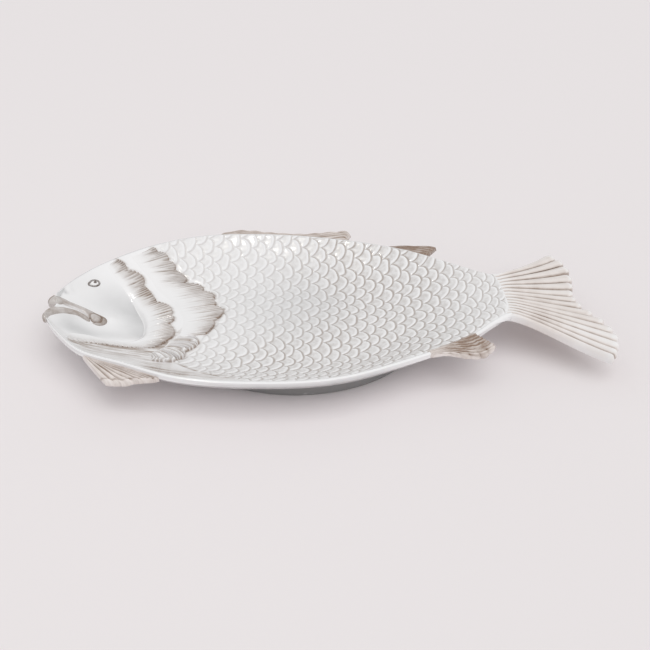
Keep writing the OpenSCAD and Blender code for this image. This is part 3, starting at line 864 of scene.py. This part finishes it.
throatFrill = {
    "node": "throat_frill", "front": throatFront, "rear": throatRear, "rows": 400, "columns": 34,
    "edge": 0.0032, "lift": 0.0018, "foldDepth": 0.0004,
    "flutes": 14, "fluteDepth": 0.0019, "slant": 0.04, "bow": 0.28, "ridges": True,
    "lobes": [
        (0.22, 1.03, 0.98), (0.42, 1.03, 0.93), (0.64, 1.03, 0.98), (0.84, 1.03, 0.97), (1, 1.0, 0.9),
    ],
    "stroke": 0.66, "washFrom": -0.1, "washLoose": 0, "washRun": 0.2,
    "band": 0.15, "bandTone": 0.1, "upperTone": 0,
    "ridge": 0.0, "ridgeSpan": (0, 1), "smoothFrom": (2, 3), "sinkFrom": 0.9,
}
frillSeat = {
    "sink": 0.0014,  # the sheet's underside lies in the dish
    "skirt": 0.0005,
    "frontDip": 0.00016,  # the smooth front runs out in the dish
    "frontRun": 0.3,
    "sideRun": 0.02,
    "sinkRun": 0.12,
    "beads": 66,  # along the gill cover's smooth end, under the jaw
}


def lobeReach(spec, run):  # reach of the rear edge, and 0 in a notch to 1 on a crest
    ends, crests, notches = np.array([(0, 1, 0.95)] + spec["lobes"]).T
    part = np.clip(np.searchsorted(ends, run, side="left"), 1, len(ends) - 1)
    t = np.clip((run - ends[part - 1]) / (ends[part] - ends[part - 1]), 0, 1)
    between = blend(notches[part - 1], notches[part], t)
    crown = np.sin(math.pi * t) ** 0.7
    return between + (crests[part] - (notches[part - 1] + notches[part]) / 2) * crown, crown


def frillEdge(spec, run):  # rear edge of a frill on the dish
    reach = lobeReach(spec, run)[0]
    frontS, frontY = trackLine(spec["front"], run)
    rearS, rearY = trackLine(spec["rear"], run)
    return blend(frontS, rearS, reach) * bodyLength, blend(frontY, rearY, reach) * halfWidth


def makeFrill(name, spec, material):
    bm = closedSheet(spec["rows"], spec["columns"])
    r, c, under = readSheet(bm)
    reach, crown = lobeReach(spec, r)
    wobble = 0.35 * np.sin(2 * math.pi * (3.1 * r + 0.1)) + 0.2 * np.sin(2 * math.pi * (7.3 * r + 0.4))
    fluteRun = spec["flutes"] * (r - spec["slant"] * c + spec["bow"] * c * (1 - c)) + wobble
    flute = np.abs(np.sin(math.pi * fluteRun))
    groove = 1 - flute
    if spec["ridges"]:  # thin ridges between broad grooves
        groove = 1 - groove
    loose = scatter(fluteRun + 0.5 * (not spec["ridges"]))
    plain = 1 - ease((r - spec["smoothFrom"][0]) / (spec["smoothFrom"][1] - spec["smoothFrom"][0]))
    startAt = np.maximum(spec["washFrom"] + spec["washLoose"] * loose, 0.78 * (1 - plain))
    brushed = ease((c - startAt) / np.minimum(spec["washRun"], np.maximum(0.12, 0.95 - startAt)))
    bead = np.abs(np.sin(math.pi * frillSeat["beads"] * r)) * (1 - plain)
    reach = reach * (1 - 0.014 * (1 - flute) + 0.05 * bead)
    frontS, frontY = trackLine(spec["front"], r)
    rearS, rearY = trackLine(spec["rear"], r)
    s = blend(frontS, rearS, c * reach)
    y = blend(frontY, rearY, c * reach) * halfWidth
    first, last = spec["ridgeSpan"]
    ridge = spec["ridge"] * bell(c - 0.12, 0.1) * ease((r - first) / 0.15) * ease((last - r) / 0.12)
    form = spec["edge"] * blend(0.4, 1, plain) * c ** 1.6 + ridge
    form = form - frillSeat["frontDip"] * (1 - ease(c / frillSeat["frontRun"]))
    form = form + spec["lift"] * ease(c / 0.15) - spec["foldDepth"] * (1 - crown) * plain * c ** 2
    cut = spec["fluteDepth"] * (0.5 + loose) * groove * brushed
    form = form - np.minimum(cut, 0.75 * np.maximum(form, 0))  # a flute stays above the dish
    rounding = np.sqrt(1 - 0.9 * np.clip((c - 0.95) / 0.05, 0, 1) ** 2)
    border = ease(r / frillSeat["sideRun"]) * ease((1 - r) / frillSeat["sideRun"])
    border = border * ease((spec["sinkFrom"] + frillSeat["sinkRun"] - r) / frillSeat["sinkRun"])
    form = blend(-frillSeat["skirt"], form * rounding, border)
    level = dishTop(s, y)
    z = np.where(under, level - frillSeat["sink"], level + form)
    bendSheet(bm, snoutX + s * bodyLength, axisY + y, z)
    band = ease((c - 1 + spec["band"]) / spec["band"]) * blend(0.8, 1, plain)
    line = ease((c - 0.962) / 0.03) * (1 - 0.9 * bead)
    stroke = brushed * (0.06 + spec["stroke"] * groove) * (0.35 + 0.65 * plain)
    upper = spec["upperTone"] * ease((c - 0.2) / 0.3) * ease((0.45 - r) / 0.2)
    wash = 0.03 + spec["bandTone"] * band + stroke + 0.85 * line + upper
    if spec["ridges"]:
        wash = wash * groove  # the ridges are rubbed clean
    marks = {"wash": np.clip(wash, 0, 1)}
    finishPiece(bm, name, spec["node"], material, marks, (fluteRun, c))


# Lips: clay rolls on either side of the mouth, from the front of the snout to the mouth's corner
upperLip = {
    "node": "upper_lip", "height": 0.0044,
    "line": [
        (0.002, -0.012), (0.0145, 0.026), (0.0265, 0.052), (0.0412, 0.048), (0.0564, 0.05),
        (0.0734, 0.04), (0.0896, 0.012), (0.1035, -0.022), (0.115, -0.066),
    ],
    "widths": [
        (0, 0.014), (0.12, 0.0162), (0.25, 0.0128), (0.4, 0.0095),
        (0.6, 0.0105), (0.85, 0.0185), (1, 0.0185),
    ],
    "tones": [(0, 0.78), (0.2, 0.95), (0.6, 0.84), (1, 1.0)],
    "paintedHighlight": 0.8, "fold": 0.4, "frontSink": 0.004,
}
lowerLip = {
    "node": "lower_lip", "height": 0.0030,
    "line": [
        (0.0075, -0.225), (0.0052, -0.165), (0.015, -0.114), (0.0295, -0.073),
        (0.042, -0.052), (0.0615, -0.032), (0.0757, -0.044), (0.0885, -0.07),
    ],
    "widths": [(0, 0.0066), (0.3, 0.0068), (0.7, 0.0068), (1, 0.0056)],
    "tones": [(0, 0.76), (0.3, 0.95), (1, 1.0)],
    "paintedHighlight": 0, "fold": 0, "frontSink": 0.003,
}
lipMesh = {
    "rows": 130,
    "columns": 28,
    "sink": 0.0012,  # how deep the roll's underside lies in the dish
    "sideSink": 0.0006,  # and its sides
    "step": 0.002,
    "endRun": 0.14,
    "ball": (0.85, 0.4, 0.1, 0.34),  # at the mouth's corner: place along and across, reach each way
}


def makeLip(name, spec, material):
    bm = closedSheet(lipMesh["rows"], lipMesh["columns"])
    r, q, under = readSheet(bm)
    lineX, lineY = trackLine(spec["line"], r)
    nextX, nextY = trackLine(spec["line"], np.minimum(1, r + lipMesh["step"]))
    lastX, lastY = trackLine(spec["line"], np.maximum(0, r - lipMesh["step"]))
    runX, runY = (nextX - lastX) * bodyLength, (nextY - lastY) * halfWidth
    size = np.hypot(runX, runY)
    toEnd = np.clip(np.minimum(r, 1 - r) / lipMesh["endRun"], 0, 1)
    endRound = np.sqrt(1 - (1 - toEnd) ** 2)
    out = (q - 0.5) * alongCurve(spec["widths"], r) * (0.12 + 0.88 * endRound)
    x = lineX * bodyLength - runY / size * out
    y = lineY * halfWidth + runX / size * out
    swell = np.sin(math.pi * q) ** 0.62 * (0.08 + 0.92 * endRound)
    atEnd = ease((r - 0.7) / 0.1)
    # the upper lip ends in a ball with a crease round it
    ballAlong, ballAcross, ballLong, ballWide = lipMesh["ball"]
    fromBall = np.hypot((r - ballAlong) / ballLong, (q - ballAcross) / ballWide)
    fold = bell(fromBall - 1, 0.16) * atEnd * (spec["fold"] > 0)
    rimLine = bell(q - 0.72, 0.06) * (1 - atEnd) * (spec["fold"] > 0)
    swell = swell - spec["fold"] * fold - 0.12 * rimLine
    level = dishTop(np.maximum(x, 0) / bodyLength, y)
    sink = lipMesh["sink"] + spec["frontSink"] * (1 - ease(r / 0.15))
    sideSink = lipMesh["sideSink"]
    z = np.where(under, level - sink, level - sideSink + (spec["height"] + sideSink) * swell)
    bendSheet(bm, snoutX + x, axisY + y, z)
    wash = alongCurve(spec["tones"], r) * (0.8 + 0.3 * ease((q - 0.62) / 0.25))
    wash = wash + 0.5 * fold + 0.8 * rimLine
    # painted highlight: the lower edge of the upper lip is left white
    wash = wash * (1 - spec["paintedHighlight"] * bell(q - 0.05, 0.09) * (1 - atEnd) * ease((r - 0.25) / 0.2))
    marks = {"wash": np.clip(wash, 0, 1.5)}
    finishPiece(bm, name, spec["node"], material, marks, (r * 8, q))


# Eye: a low dome with a pupil, in an almond ring, both drawn out along the cheek
eye = {
    "place": (0.0786, 0.369),
    "along": (0.0056, 0.0028),  # half of the long way of the ring
    "across": (-0.0004, 0.0037),  # half of its short way
    "ball": 0.66,  # share of the ring that the ball fills
    "height": 0.0012,
    "sink": 0.001,
    "cells": 36,
    "pupil": (0.2, 0.26, 0.4, 0.46),  # place in the ball, then half its length and height
    "pupilTone": 1.5,
    "ringWidth": 0.38,
    "ringHeight": 0.0010,
    "ringSteps": 80,
    "corner": 0.22,  # how far the ring is drawn out at the front corner
    "cornerTurn": math.radians(200),
}


def onCheek(u, v):
    offX = eye["along"][0] * u + eye["across"][0] * v
    offY = eye["along"][1] * u + eye["across"][1] * v
    s = eye["place"][0] + offX / bodyLength
    y = eye["place"][1] * halfWidth + offY
    return snoutX + s * bodyLength, axisY + y, dishTop(s, y)


def makeEyeball(material):
    bm = closedSheet(eye["cells"], eye["cells"])
    u, v, under = readSheet(bm)
    u, v = 2 * u - 1, 2 * v - 1
    discU, discV = u * np.sqrt(1 - v * v / 2), v * np.sqrt(1 - u * u / 2)
    x, y, level = onCheek(eye["ball"] * discU, eye["ball"] * discV)
    dome = np.sqrt(np.maximum(0, 1 - discU ** 2 - discV ** 2))
    pupilU, pupilV, pupilLong, pupilHigh = eye["pupil"]
    toPupil = np.hypot((discU - pupilU) / pupilLong, (discV - pupilV) / pupilHigh)
    pupil = eye["pupilTone"] * ease((1.3 - toPupil) / 0.5)
    z = np.where(under, level - eye["sink"], level + eye["height"] * dome)
    bendSheet(bm, x, y, z)
    marks = {"wash": pupil * ~under}
    finishPiece(bm, "eyeball", "eyeball", material, marks, (discU, discV))


def makeEyeRing(material):
    bm = bmesh.new()
    bmesh.ops.create_circle(bm, segments=16, radius=0.5)
    turn, outwards, up = spinProfile(bm, 0, eye["ringSteps"])
    drawn = eye["corner"] * np.maximum(0, np.cos(turn - eye["cornerTurn"])) ** 7
    reach = 1 - eye["ringWidth"] / 2 + drawn + eye["ringWidth"] * outwards
    x, y, level = onCheek(reach * np.cos(turn), reach * np.sin(turn))
    bendSheet(bm, x, y, level + eye["ringHeight"] * 2 * up)
    marks = {"wash": np.ones(len(turn))}
    finishPiece(bm, "eyeRing", "eye_ring", material, marks, (turn * 2, outwards))


# Fins: ribbed blades on the rim, tips leaning towards the tail
# Reaches and leans are shares of reach and lean along the root, lap is how far a fin lies on the rim
frontDorsalFin = {
    "node": "front_dorsal_fin", "side": 1, "roots": (0.345, 0.654),
    "reach": 0.0255, "lean": 0.006, "drop": -0.001, "bend": 2, "tip": 0.0035, "lap": 0,
    "ribs": 4, "fan": 0, "sweep": 9, "beads": 9, "tone": 0.58,
    "reaches": [(0, 0.3), (0.15, 0.58), (0.4, 0.4), (0.62, 0.4), (0.8, 0.72), (0.95, 1), (1, 0.85)],
    "leans": [(0, 0.5), (0.5, 1), (1, 0.4)],
}
rearDorsalFin = {
    "node": "rear_dorsal_fin", "side": 1, "roots": (0.738, 0.84),
    "reach": 0.022, "lean": 0.010, "drop": -0.001, "bend": 2, "tip": 0.0035, "lap": 0,
    "ribs": 5, "fan": 0, "sweep": 1.5, "beads": 2, "tone": 1.05,
    "reaches": [(0, 0.2), (0.25, 0.55), (0.6, 0.9), (1, 1.15)],
    "leans": [(0, 0.8), (0.5, 1), (1, 0.2)],
}
pelvicFin = {
    "node": "pelvic_fin", "side": -1, "roots": (0.105, 0.27),
    "reach": 0.020, "lean": 0.042, "drop": 0.008, "bend": 1.25, "tip": 0.003, "lap": 0,
    "ribs": 7, "fan": 0.6, "sweep": 0, "beads": 5, "tone": 0.47,
    "reaches": [(0, 0.72), (0.25, 0.74), (0.5, 0.42), (0.75, 0.16), (1, 0.05)],
    "leans": [(0, 1), (0.25, 0.8), (0.5, 0.62), (0.75, 0.4), (1, 0.04)],
}
analFin = {
    "node": "anal_fin", "side": -1, "roots": (0.811, 0.916),
    "reach": 0.021, "lean": 0.010, "drop": 0.005, "bend": 2, "tip": 0.0046, "lap": 0.0075,
    "ribs": 8, "fan": 0, "sweep": 2.6, "beads": 7, "tone": 0.84,
    "reaches": [(0, 0.08), (0.25, 0.28), (0.5, 0.66), (0.75, 1), (1, 0.85)],
    "leans": [(0, 0.35), (0.5, 0.5), (0.75, 0.7), (1, 1)],
}
finBlade = {
    "rows": 168,
    "columns": 48,
    "step": 0.002,
    "ribHeight": 0.0013,
    "knob": 0.0016,  # round ends of the ribs on the belly side
    "knobPlace": 0.92,
    "scallop": 0.08,
    "sink": 0.0012,  # how far a root reaches into the rim
    "rootCut": 0.0035,  # how much thinner than the rim a root is
    "tipRound": 0.06,
    "faceShare": 0.6,
    "taper": 0.25,
    "taperClay": 0.0018,
    "lapLift": 0.0006,  # a fin that laps the rim lies this far over it
    "lapClay": 0.0045,
}


def makeFin(name, spec, material):
    bm = closedSheet(finBlade["rows"], finBlade["columns"])
    r, c, under = readSheet(bm)
    onBelly, fans, laps = spec["side"] < 0, spec["fan"] > 0, spec["lap"] > 0
    if fans:  # ribs fan out from the front corner of the root
        spreadOut = r / np.maximum(c, 0.02) ** spec["fan"]
        ribRun = spec["ribs"] * np.minimum(spreadOut, 1 + 0.25 * np.tanh(np.maximum(spreadOut - 1, 0)))
    else:  # ribs run back along the blade
        ribRun = spec["ribs"] * c - spec["sweep"] * r
    rib = np.abs(np.sin(math.pi * ribRun))
    tipRib = np.abs(np.sin(math.pi * spec["beads"] * r))
    edge = bellyEdge if onBelly else backEdge
    s = blend(spec["roots"][0], spec["roots"][1], r)
    runX = 2 * finBlade["step"] * bodyLength
    runY = edge(s + finBlade["step"]) - edge(s - finBlade["step"])
    size = np.hypot(runX, runY)
    runX, runY = runX / size, runY / size
    outX, outY = -spec["side"] * runY, spec["side"] * runX
    out = spec["reach"] * alongCurve(spec["reaches"], r) * (1 - finBlade["scallop"] * (1 - tipRib ** 0.6))
    back = spec["lean"] * alongCurve(spec["leans"], r)
    inward = finBlade["sink"] + spec["lap"]
    inside = np.minimum(0.5, inward / (inward + out))  # share of the blade that lies on the rim
    outward = np.where(c < inside, inward * (c / inside - 1), out * (c - inside) / (1 - inside))
    x = s * bodyLength + outX * outward + runX * back * c ** spec["bend"]
    y = edge(s) + outY * outward + runY * back * c ** spec["bend"]
    low = dish["rimZ"] - clayAt(s) - spec["drop"] * alongCurve(spec["reaches"], r) * c ** 1.5
    root = clayAt(s) - finBlade["rootCut"]
    raised = finBlade["ribHeight"] * rib ** 0.7 * np.minimum(1, 3 * c)
    tip = np.clip((c - 1 + finBlade["tipRound"]) / finBlade["tipRound"], 0, 1)
    knob = finBlade["knob"] * tipRib * bell(c - finBlade["knobPlace"], 0.05) * onBelly
    knob = knob * ease((r + fans - 0.3) / 0.3)
    high = low + blend(root, spec["tip"], c) + raised + knob
    if laps:  # lies over the rim before it stands out from it
        clear = np.clip(outward / np.maximum(out, 1e-6), 0, 1)
        onRim = dishTop(x / bodyLength, np.maximum(y, edge(x / bodyLength))) + finBlade["lapLift"]
        flat = blend(onRim, low + spec["tip"], ease(clear) * ease((r - 0.1) / 0.5))
        low = np.maximum(low, flat - finBlade["lapClay"])
        fall = 1 - np.sqrt(1 - clear ** blend(2, 9, ease(r / 0.6)))
        beyond = blend(flat, low, 0.9 * fall) + 0.7 * raised + knob
        high = np.where(outward < 0, onRim + 0.4 * raised, beyond)
    else:
        high = blend(high, low + finBlade["faceShare"] * (high - low), 1 - np.sqrt(1 - tip ** 2))
    side = ease(r / 0.03) * ease((1 - r) / 0.03)
    if fans:  # thins out to the rear end
        low = blend(high - finBlade["taperClay"], low, ease((1 - r) / finBlade["taper"]))
    high = blend(low + 0.4 * (high - low), high, np.sqrt(side))
    bendSheet(bm, snoutX + x, axisY + y, np.where(under, low, high))
    inGrooves = (1 - rib) ** 1.3 * np.minimum(1, 4 * c) * side * (1 - 0.8 * ease((c - 0.9) / 0.08))
    wash = spec["tone"] + 0.6 * inGrooves
    # painted highlight on the round rib ends on the belly side
    wash = wash * (1 - 0.5 * bell(c - finBlade["knobPlace"], 0.045) * tipRib * onBelly)
    wash = wash * (1 - 0.25 * bell(r, 0.05) * fans)
    wash = wash + 0.45 * bell(c - 0.86 - 0.05 * tipRib, 0.025) * fans  # line round the tips
    wash = wash * (1 - 0.4 * ease((c - 0.96) / 0.03) * laps)  # a paler edge
    wash = wash * blend(1, blend(0.6, 1, ease((r - 0.1) / 0.4)), laps)
    marks = {"wash": np.clip(wash, 0, 1.4)}
    finishPiece(bm, name, spec["node"], material, marks, (ribRun, 4 * r + c))


# Tail: a ribbed fan that bends down from the tail root
tail = {
    "length": 0.104,
    "width": 0.180,
    "middle": 0.045,  # place across the dish, as a share of its half width
    "thickness": 0.0048,
    "drop": 0.004,
    "curl": 0.013,  # the belly edge curls down
    "curlFrom": 0.7,
    "bend": 1.12,
    "edgeBend": 0.1,
    "flareFrom": 0.1,
    "ribs": 15,
    "ribHeight": 0.0017,
    "ribRound": 0.9,
    "ribSteps": 16,
    "columns": 96,
    "overlap": 0.011,  # the root starts inside the dish
    "sunk": 0.0018,
    "emerge": 0.12,
    "emergeSide": 0.4,
    "lift": 0.0005,
    "tipRound": 0.03,
    # ends of the ribs from the back to the belly, as shares of the length and the width
    "tips": [
        (0.61, 0.49), (0.74, 0.375), (0.752, 0.2), (0.705, 0.045), (0.745, -0.076),
        (0.892, -0.225), (0.972, -0.37), (0.94, -0.465), (0.885, -0.495),
    ],
}


def tailTip(run):
    tipX, tipY = trackLine(tail["tips"], run)
    return bodyLength + tail["length"] * tipX, tail["middle"] * halfWidth + tail["width"] * tipY


def makeTail(material):
    ribs = tail["ribs"]
    bm = closedSheet(ribs * tail["ribSteps"], tail["columns"])
    r, c, under = readSheet(bm)
    rib = np.abs(np.sin(math.pi * ribs * r))
    number = np.minimum(np.floor(ribs * r + 1e-6), ribs - 1)
    across = np.clip(2 * (ribs * r - number) - 1, -1, 1)
    rootX = bodyLength - tail["overlap"]
    rootS = np.full_like(r, rootX / bodyLength)
    endS = np.ones_like(r)
    rootY = blend(backEdge(endS), bellyEdge(endS), r)
    # each rib ends in a round tip, square to its own run
    middleX, middleY = tailTip((number + 0.5) / ribs)
    nextX, nextY = tailTip((number + 1) / ribs)
    lastX, lastY = tailTip(number / ribs)
    runX = middleX - rootX
    runY = tail["bend"] * (middleY - blend(backEdge(endS), bellyEdge(endS), (number + 0.5) / ribs))
    size = np.hypot(runX, runY)
    runX, runY = runX / size, runY / size
    sideX, sideY = (nextX - lastX) / 2, (nextY - lastY) / 2
    slip = sideX * runX + sideY * runY
    sideX, sideY = sideX - slip * runX, sideY - slip * runY
    pull = tail["ribRound"] * np.hypot(sideX, sideY) * (1 - np.sqrt(1 - across ** 2))
    x = blend(rootX, middleX + across * sideX - pull * runX, c)
    bend = tail["bend"] + tail["edgeBend"] * np.abs(2 * r - 1) ** 3
    flare = np.maximum(0, (c - tail["flareFrom"]) / (1 - tail["flareFrom"])) ** bend
    y = blend(rootY, middleY + across * sideY - pull * runY, flare)
    curl = tail["curl"] * np.maximum(0, (r - tail["curlFrom"]) / (1 - tail["curlFrom"])) ** 2
    rootTop = wellHeight(rootS, rootY) + lipForm(rootS, rootY)
    start = tail["emerge"] * blend(1, tail["emergeSide"], (2 * r - 1) ** 2)
    rootTop = rootTop + blend(-tail["sunk"], tail["lift"], ease(c / start))
    rootUnder = wellHeight(rootS, rootY) - clayAt(rootS) + tail["lift"]
    tipLevel = dish["rimZ"] - tail["drop"] - tail["ribHeight"] - curl
    sheet = blend(rootTop, tipLevel, ease(c))
    high = sheet + tail["ribHeight"] * rib ** 0.55 * ease((c - 0.6 * start) / 0.12)
    underside = blend(rootUnder, tipLevel - tail["thickness"], ease(c))
    low = np.minimum(underside, sheet - tail["thickness"] * ease(c))
    tip = np.clip((c - 1 + tail["tipRound"]) / tail["tipRound"], 0, 1)
    high = blend(high, low + 0.35 * (high - low), 1 - np.sqrt(1 - tip ** 2))
    bendSheet(bm, snoutX + x, axisY + y, np.where(under, low, high))
    inner = ease(r / 0.03) * ease((1 - r) / 0.03)
    nearTint = blend(1.25, 0.45, ease((c - 0.35) / 0.4))
    tint = 0.36 * blend(1, nearTint, ease((r - 0.55) / 0.3)) * ease((c - 0.5 * start) / 0.3)
    tint = tint * (1 - 0.7 * bell(c - 0.965, 0.02)) * blend(0.6, 1, inner)
    inGrooves = (1 - rib) ** blend(1.2, 2.2, ease(c / 0.5)) * ease((c - 0.5 * start) / 0.05) * inner
    marks = {"wash": np.clip(tint + 0.75 * inGrooves, 0, 1)}
    finishPiece(bm, "tailFin", "tail_fin", material, marks, (r * ribs, c))


# Plain pale floor and soft studio light
studio = {
    "floorSize": 4.0,
    "floorColour": (0.825, 0.779, 0.787, 1),
    "skyColour": (0.985, 1, 0.996, 1),
    "skyStrength": 0.63,
    "sheenStrength": 0.75,  # what the camera and the gloss of the glaze see
    "lampStrength": 1.2,
    "lampAngle": math.radians(62),
    "lampTilt": (math.radians(23), math.radians(15), 0),  # from above, on the belly and tail side
    # lamps for the sparkle of the gloss: place, length, width, power, and if they light the glaze too
    "glints": [
        ((-0.34, -0.2, 1.06), 0.09, 0.09, 0.3, True),
        ((-0.42, 0, 1.06), 0.2, 0.04, 0.9, False),
    ],
    "glintColour": (1, 0.97, 0.9),
}


def addFloor(spec):
    bm = bmesh.new()
    bmesh.ops.create_grid(bm, x_segments=1, y_segments=1, size=spec["floorSize"])
    mesh = bpy.data.meshes.new("studioFloor")
    bm.to_mesh(mesh)
    bm.free()
    material = bpy.data.materials.new("floorPaper")
    material.use_nodes = True
    shader = material.node_tree.nodes["Principled BSDF"]
    shader.inputs["Base Color"].default_value = spec["floorColour"]
    shader.inputs["Roughness"].default_value = 0.9
    shader.inputs["Specular IOR Level"].default_value = 0.0
    mesh.materials.append(material)
    floor = bpy.data.objects.new("studioFloor", mesh)
    scene.collection.objects.link(floor)
    print("floor laid")


def addLamps(spec):
    lamp = bpy.data.lights.new("lampLight", "SUN")
    lamp.energy = spec["lampStrength"]
    lamp.angle = spec["lampAngle"]
    lampObject = bpy.data.objects.new("lampLight", lamp)
    lampObject.rotation_euler = spec["lampTilt"]
    lampObject.visible_glossy = False
    scene.collection.objects.link(lampObject)
    for place, long, wide, power, lights in spec["glints"]:
        glint = bpy.data.lights.new("glintLamp", "AREA")
        glint.shape = "RECTANGLE"
        glint.size = long
        glint.size_y = wide
        glint.energy = power
        glint.color = spec["glintColour"]
        glintObject = bpy.data.objects.new("glintLamp", glint)
        glintObject.location = place
        glintObject.visible_diffuse = lights
        scene.collection.objects.link(glintObject)
    print("lamps set")


def addSky(spec):
    world = bpy.data.worlds.new("studioSky")
    world.use_nodes = True
    tree = world.node_tree
    sky = tree.nodes["Background"]
    sky.inputs["Color"].default_value = spec["skyColour"]
    rays = tree.nodes.new("ShaderNodeLightPath")
    seen = calc(tree, "MAXIMUM", rays.outputs["Is Camera Ray"], rays.outputs["Is Glossy Ray"])
    seen = calc(tree, "MAXIMUM", seen, rays.outputs["Is Transmission Ray"])
    strength = spread(tree, seen, 0.0, 1.0, spec["skyStrength"], spec["sheenStrength"], "LINEAR")
    tree.links.new(strength, sky.inputs["Strength"])
    scene.world = world
    print("sky set")


frillGlaze = washedGlaze("frillGlaze", glaze["taupe"], (1.3, 0.9, 1))
lipGlaze = washedGlaze("lipGlaze", glaze["lip"], (0.6, 1.4, 1))
eyeGlaze = washedGlaze("eyeGlaze", glaze["umber"])
finGlaze = washedGlaze("finGlaze", glaze["brown"], (2.4, 0.7, 1), glaze["paleFin"])
makeDish(dishGlaze())
makeFootRing(washedGlaze("footShadeGlaze", glaze["footShadeGrey"]))
makeFrill("gillCover", gillCover, frillGlaze)
makeFrill("shoulderCollar", shoulderCollar, frillGlaze)
makeFrill("throatFrill", throatFrill, frillGlaze)
makeLip("upperLip", upperLip, lipGlaze)
makeLip("lowerLip", lowerLip, lipGlaze)
makeEyeball(eyeGlaze)
makeEyeRing(eyeGlaze)
makeFin("frontDorsalFin", frontDorsalFin, finGlaze)
makeFin("rearDorsalFin", rearDorsalFin, finGlaze)
makeFin("pelvicFin", pelvicFin, finGlaze)
makeFin("analFin", analFin, finGlaze)
makeTail(finGlaze)
addFloor(studio)
addLamps(studio)
addSky(studio)
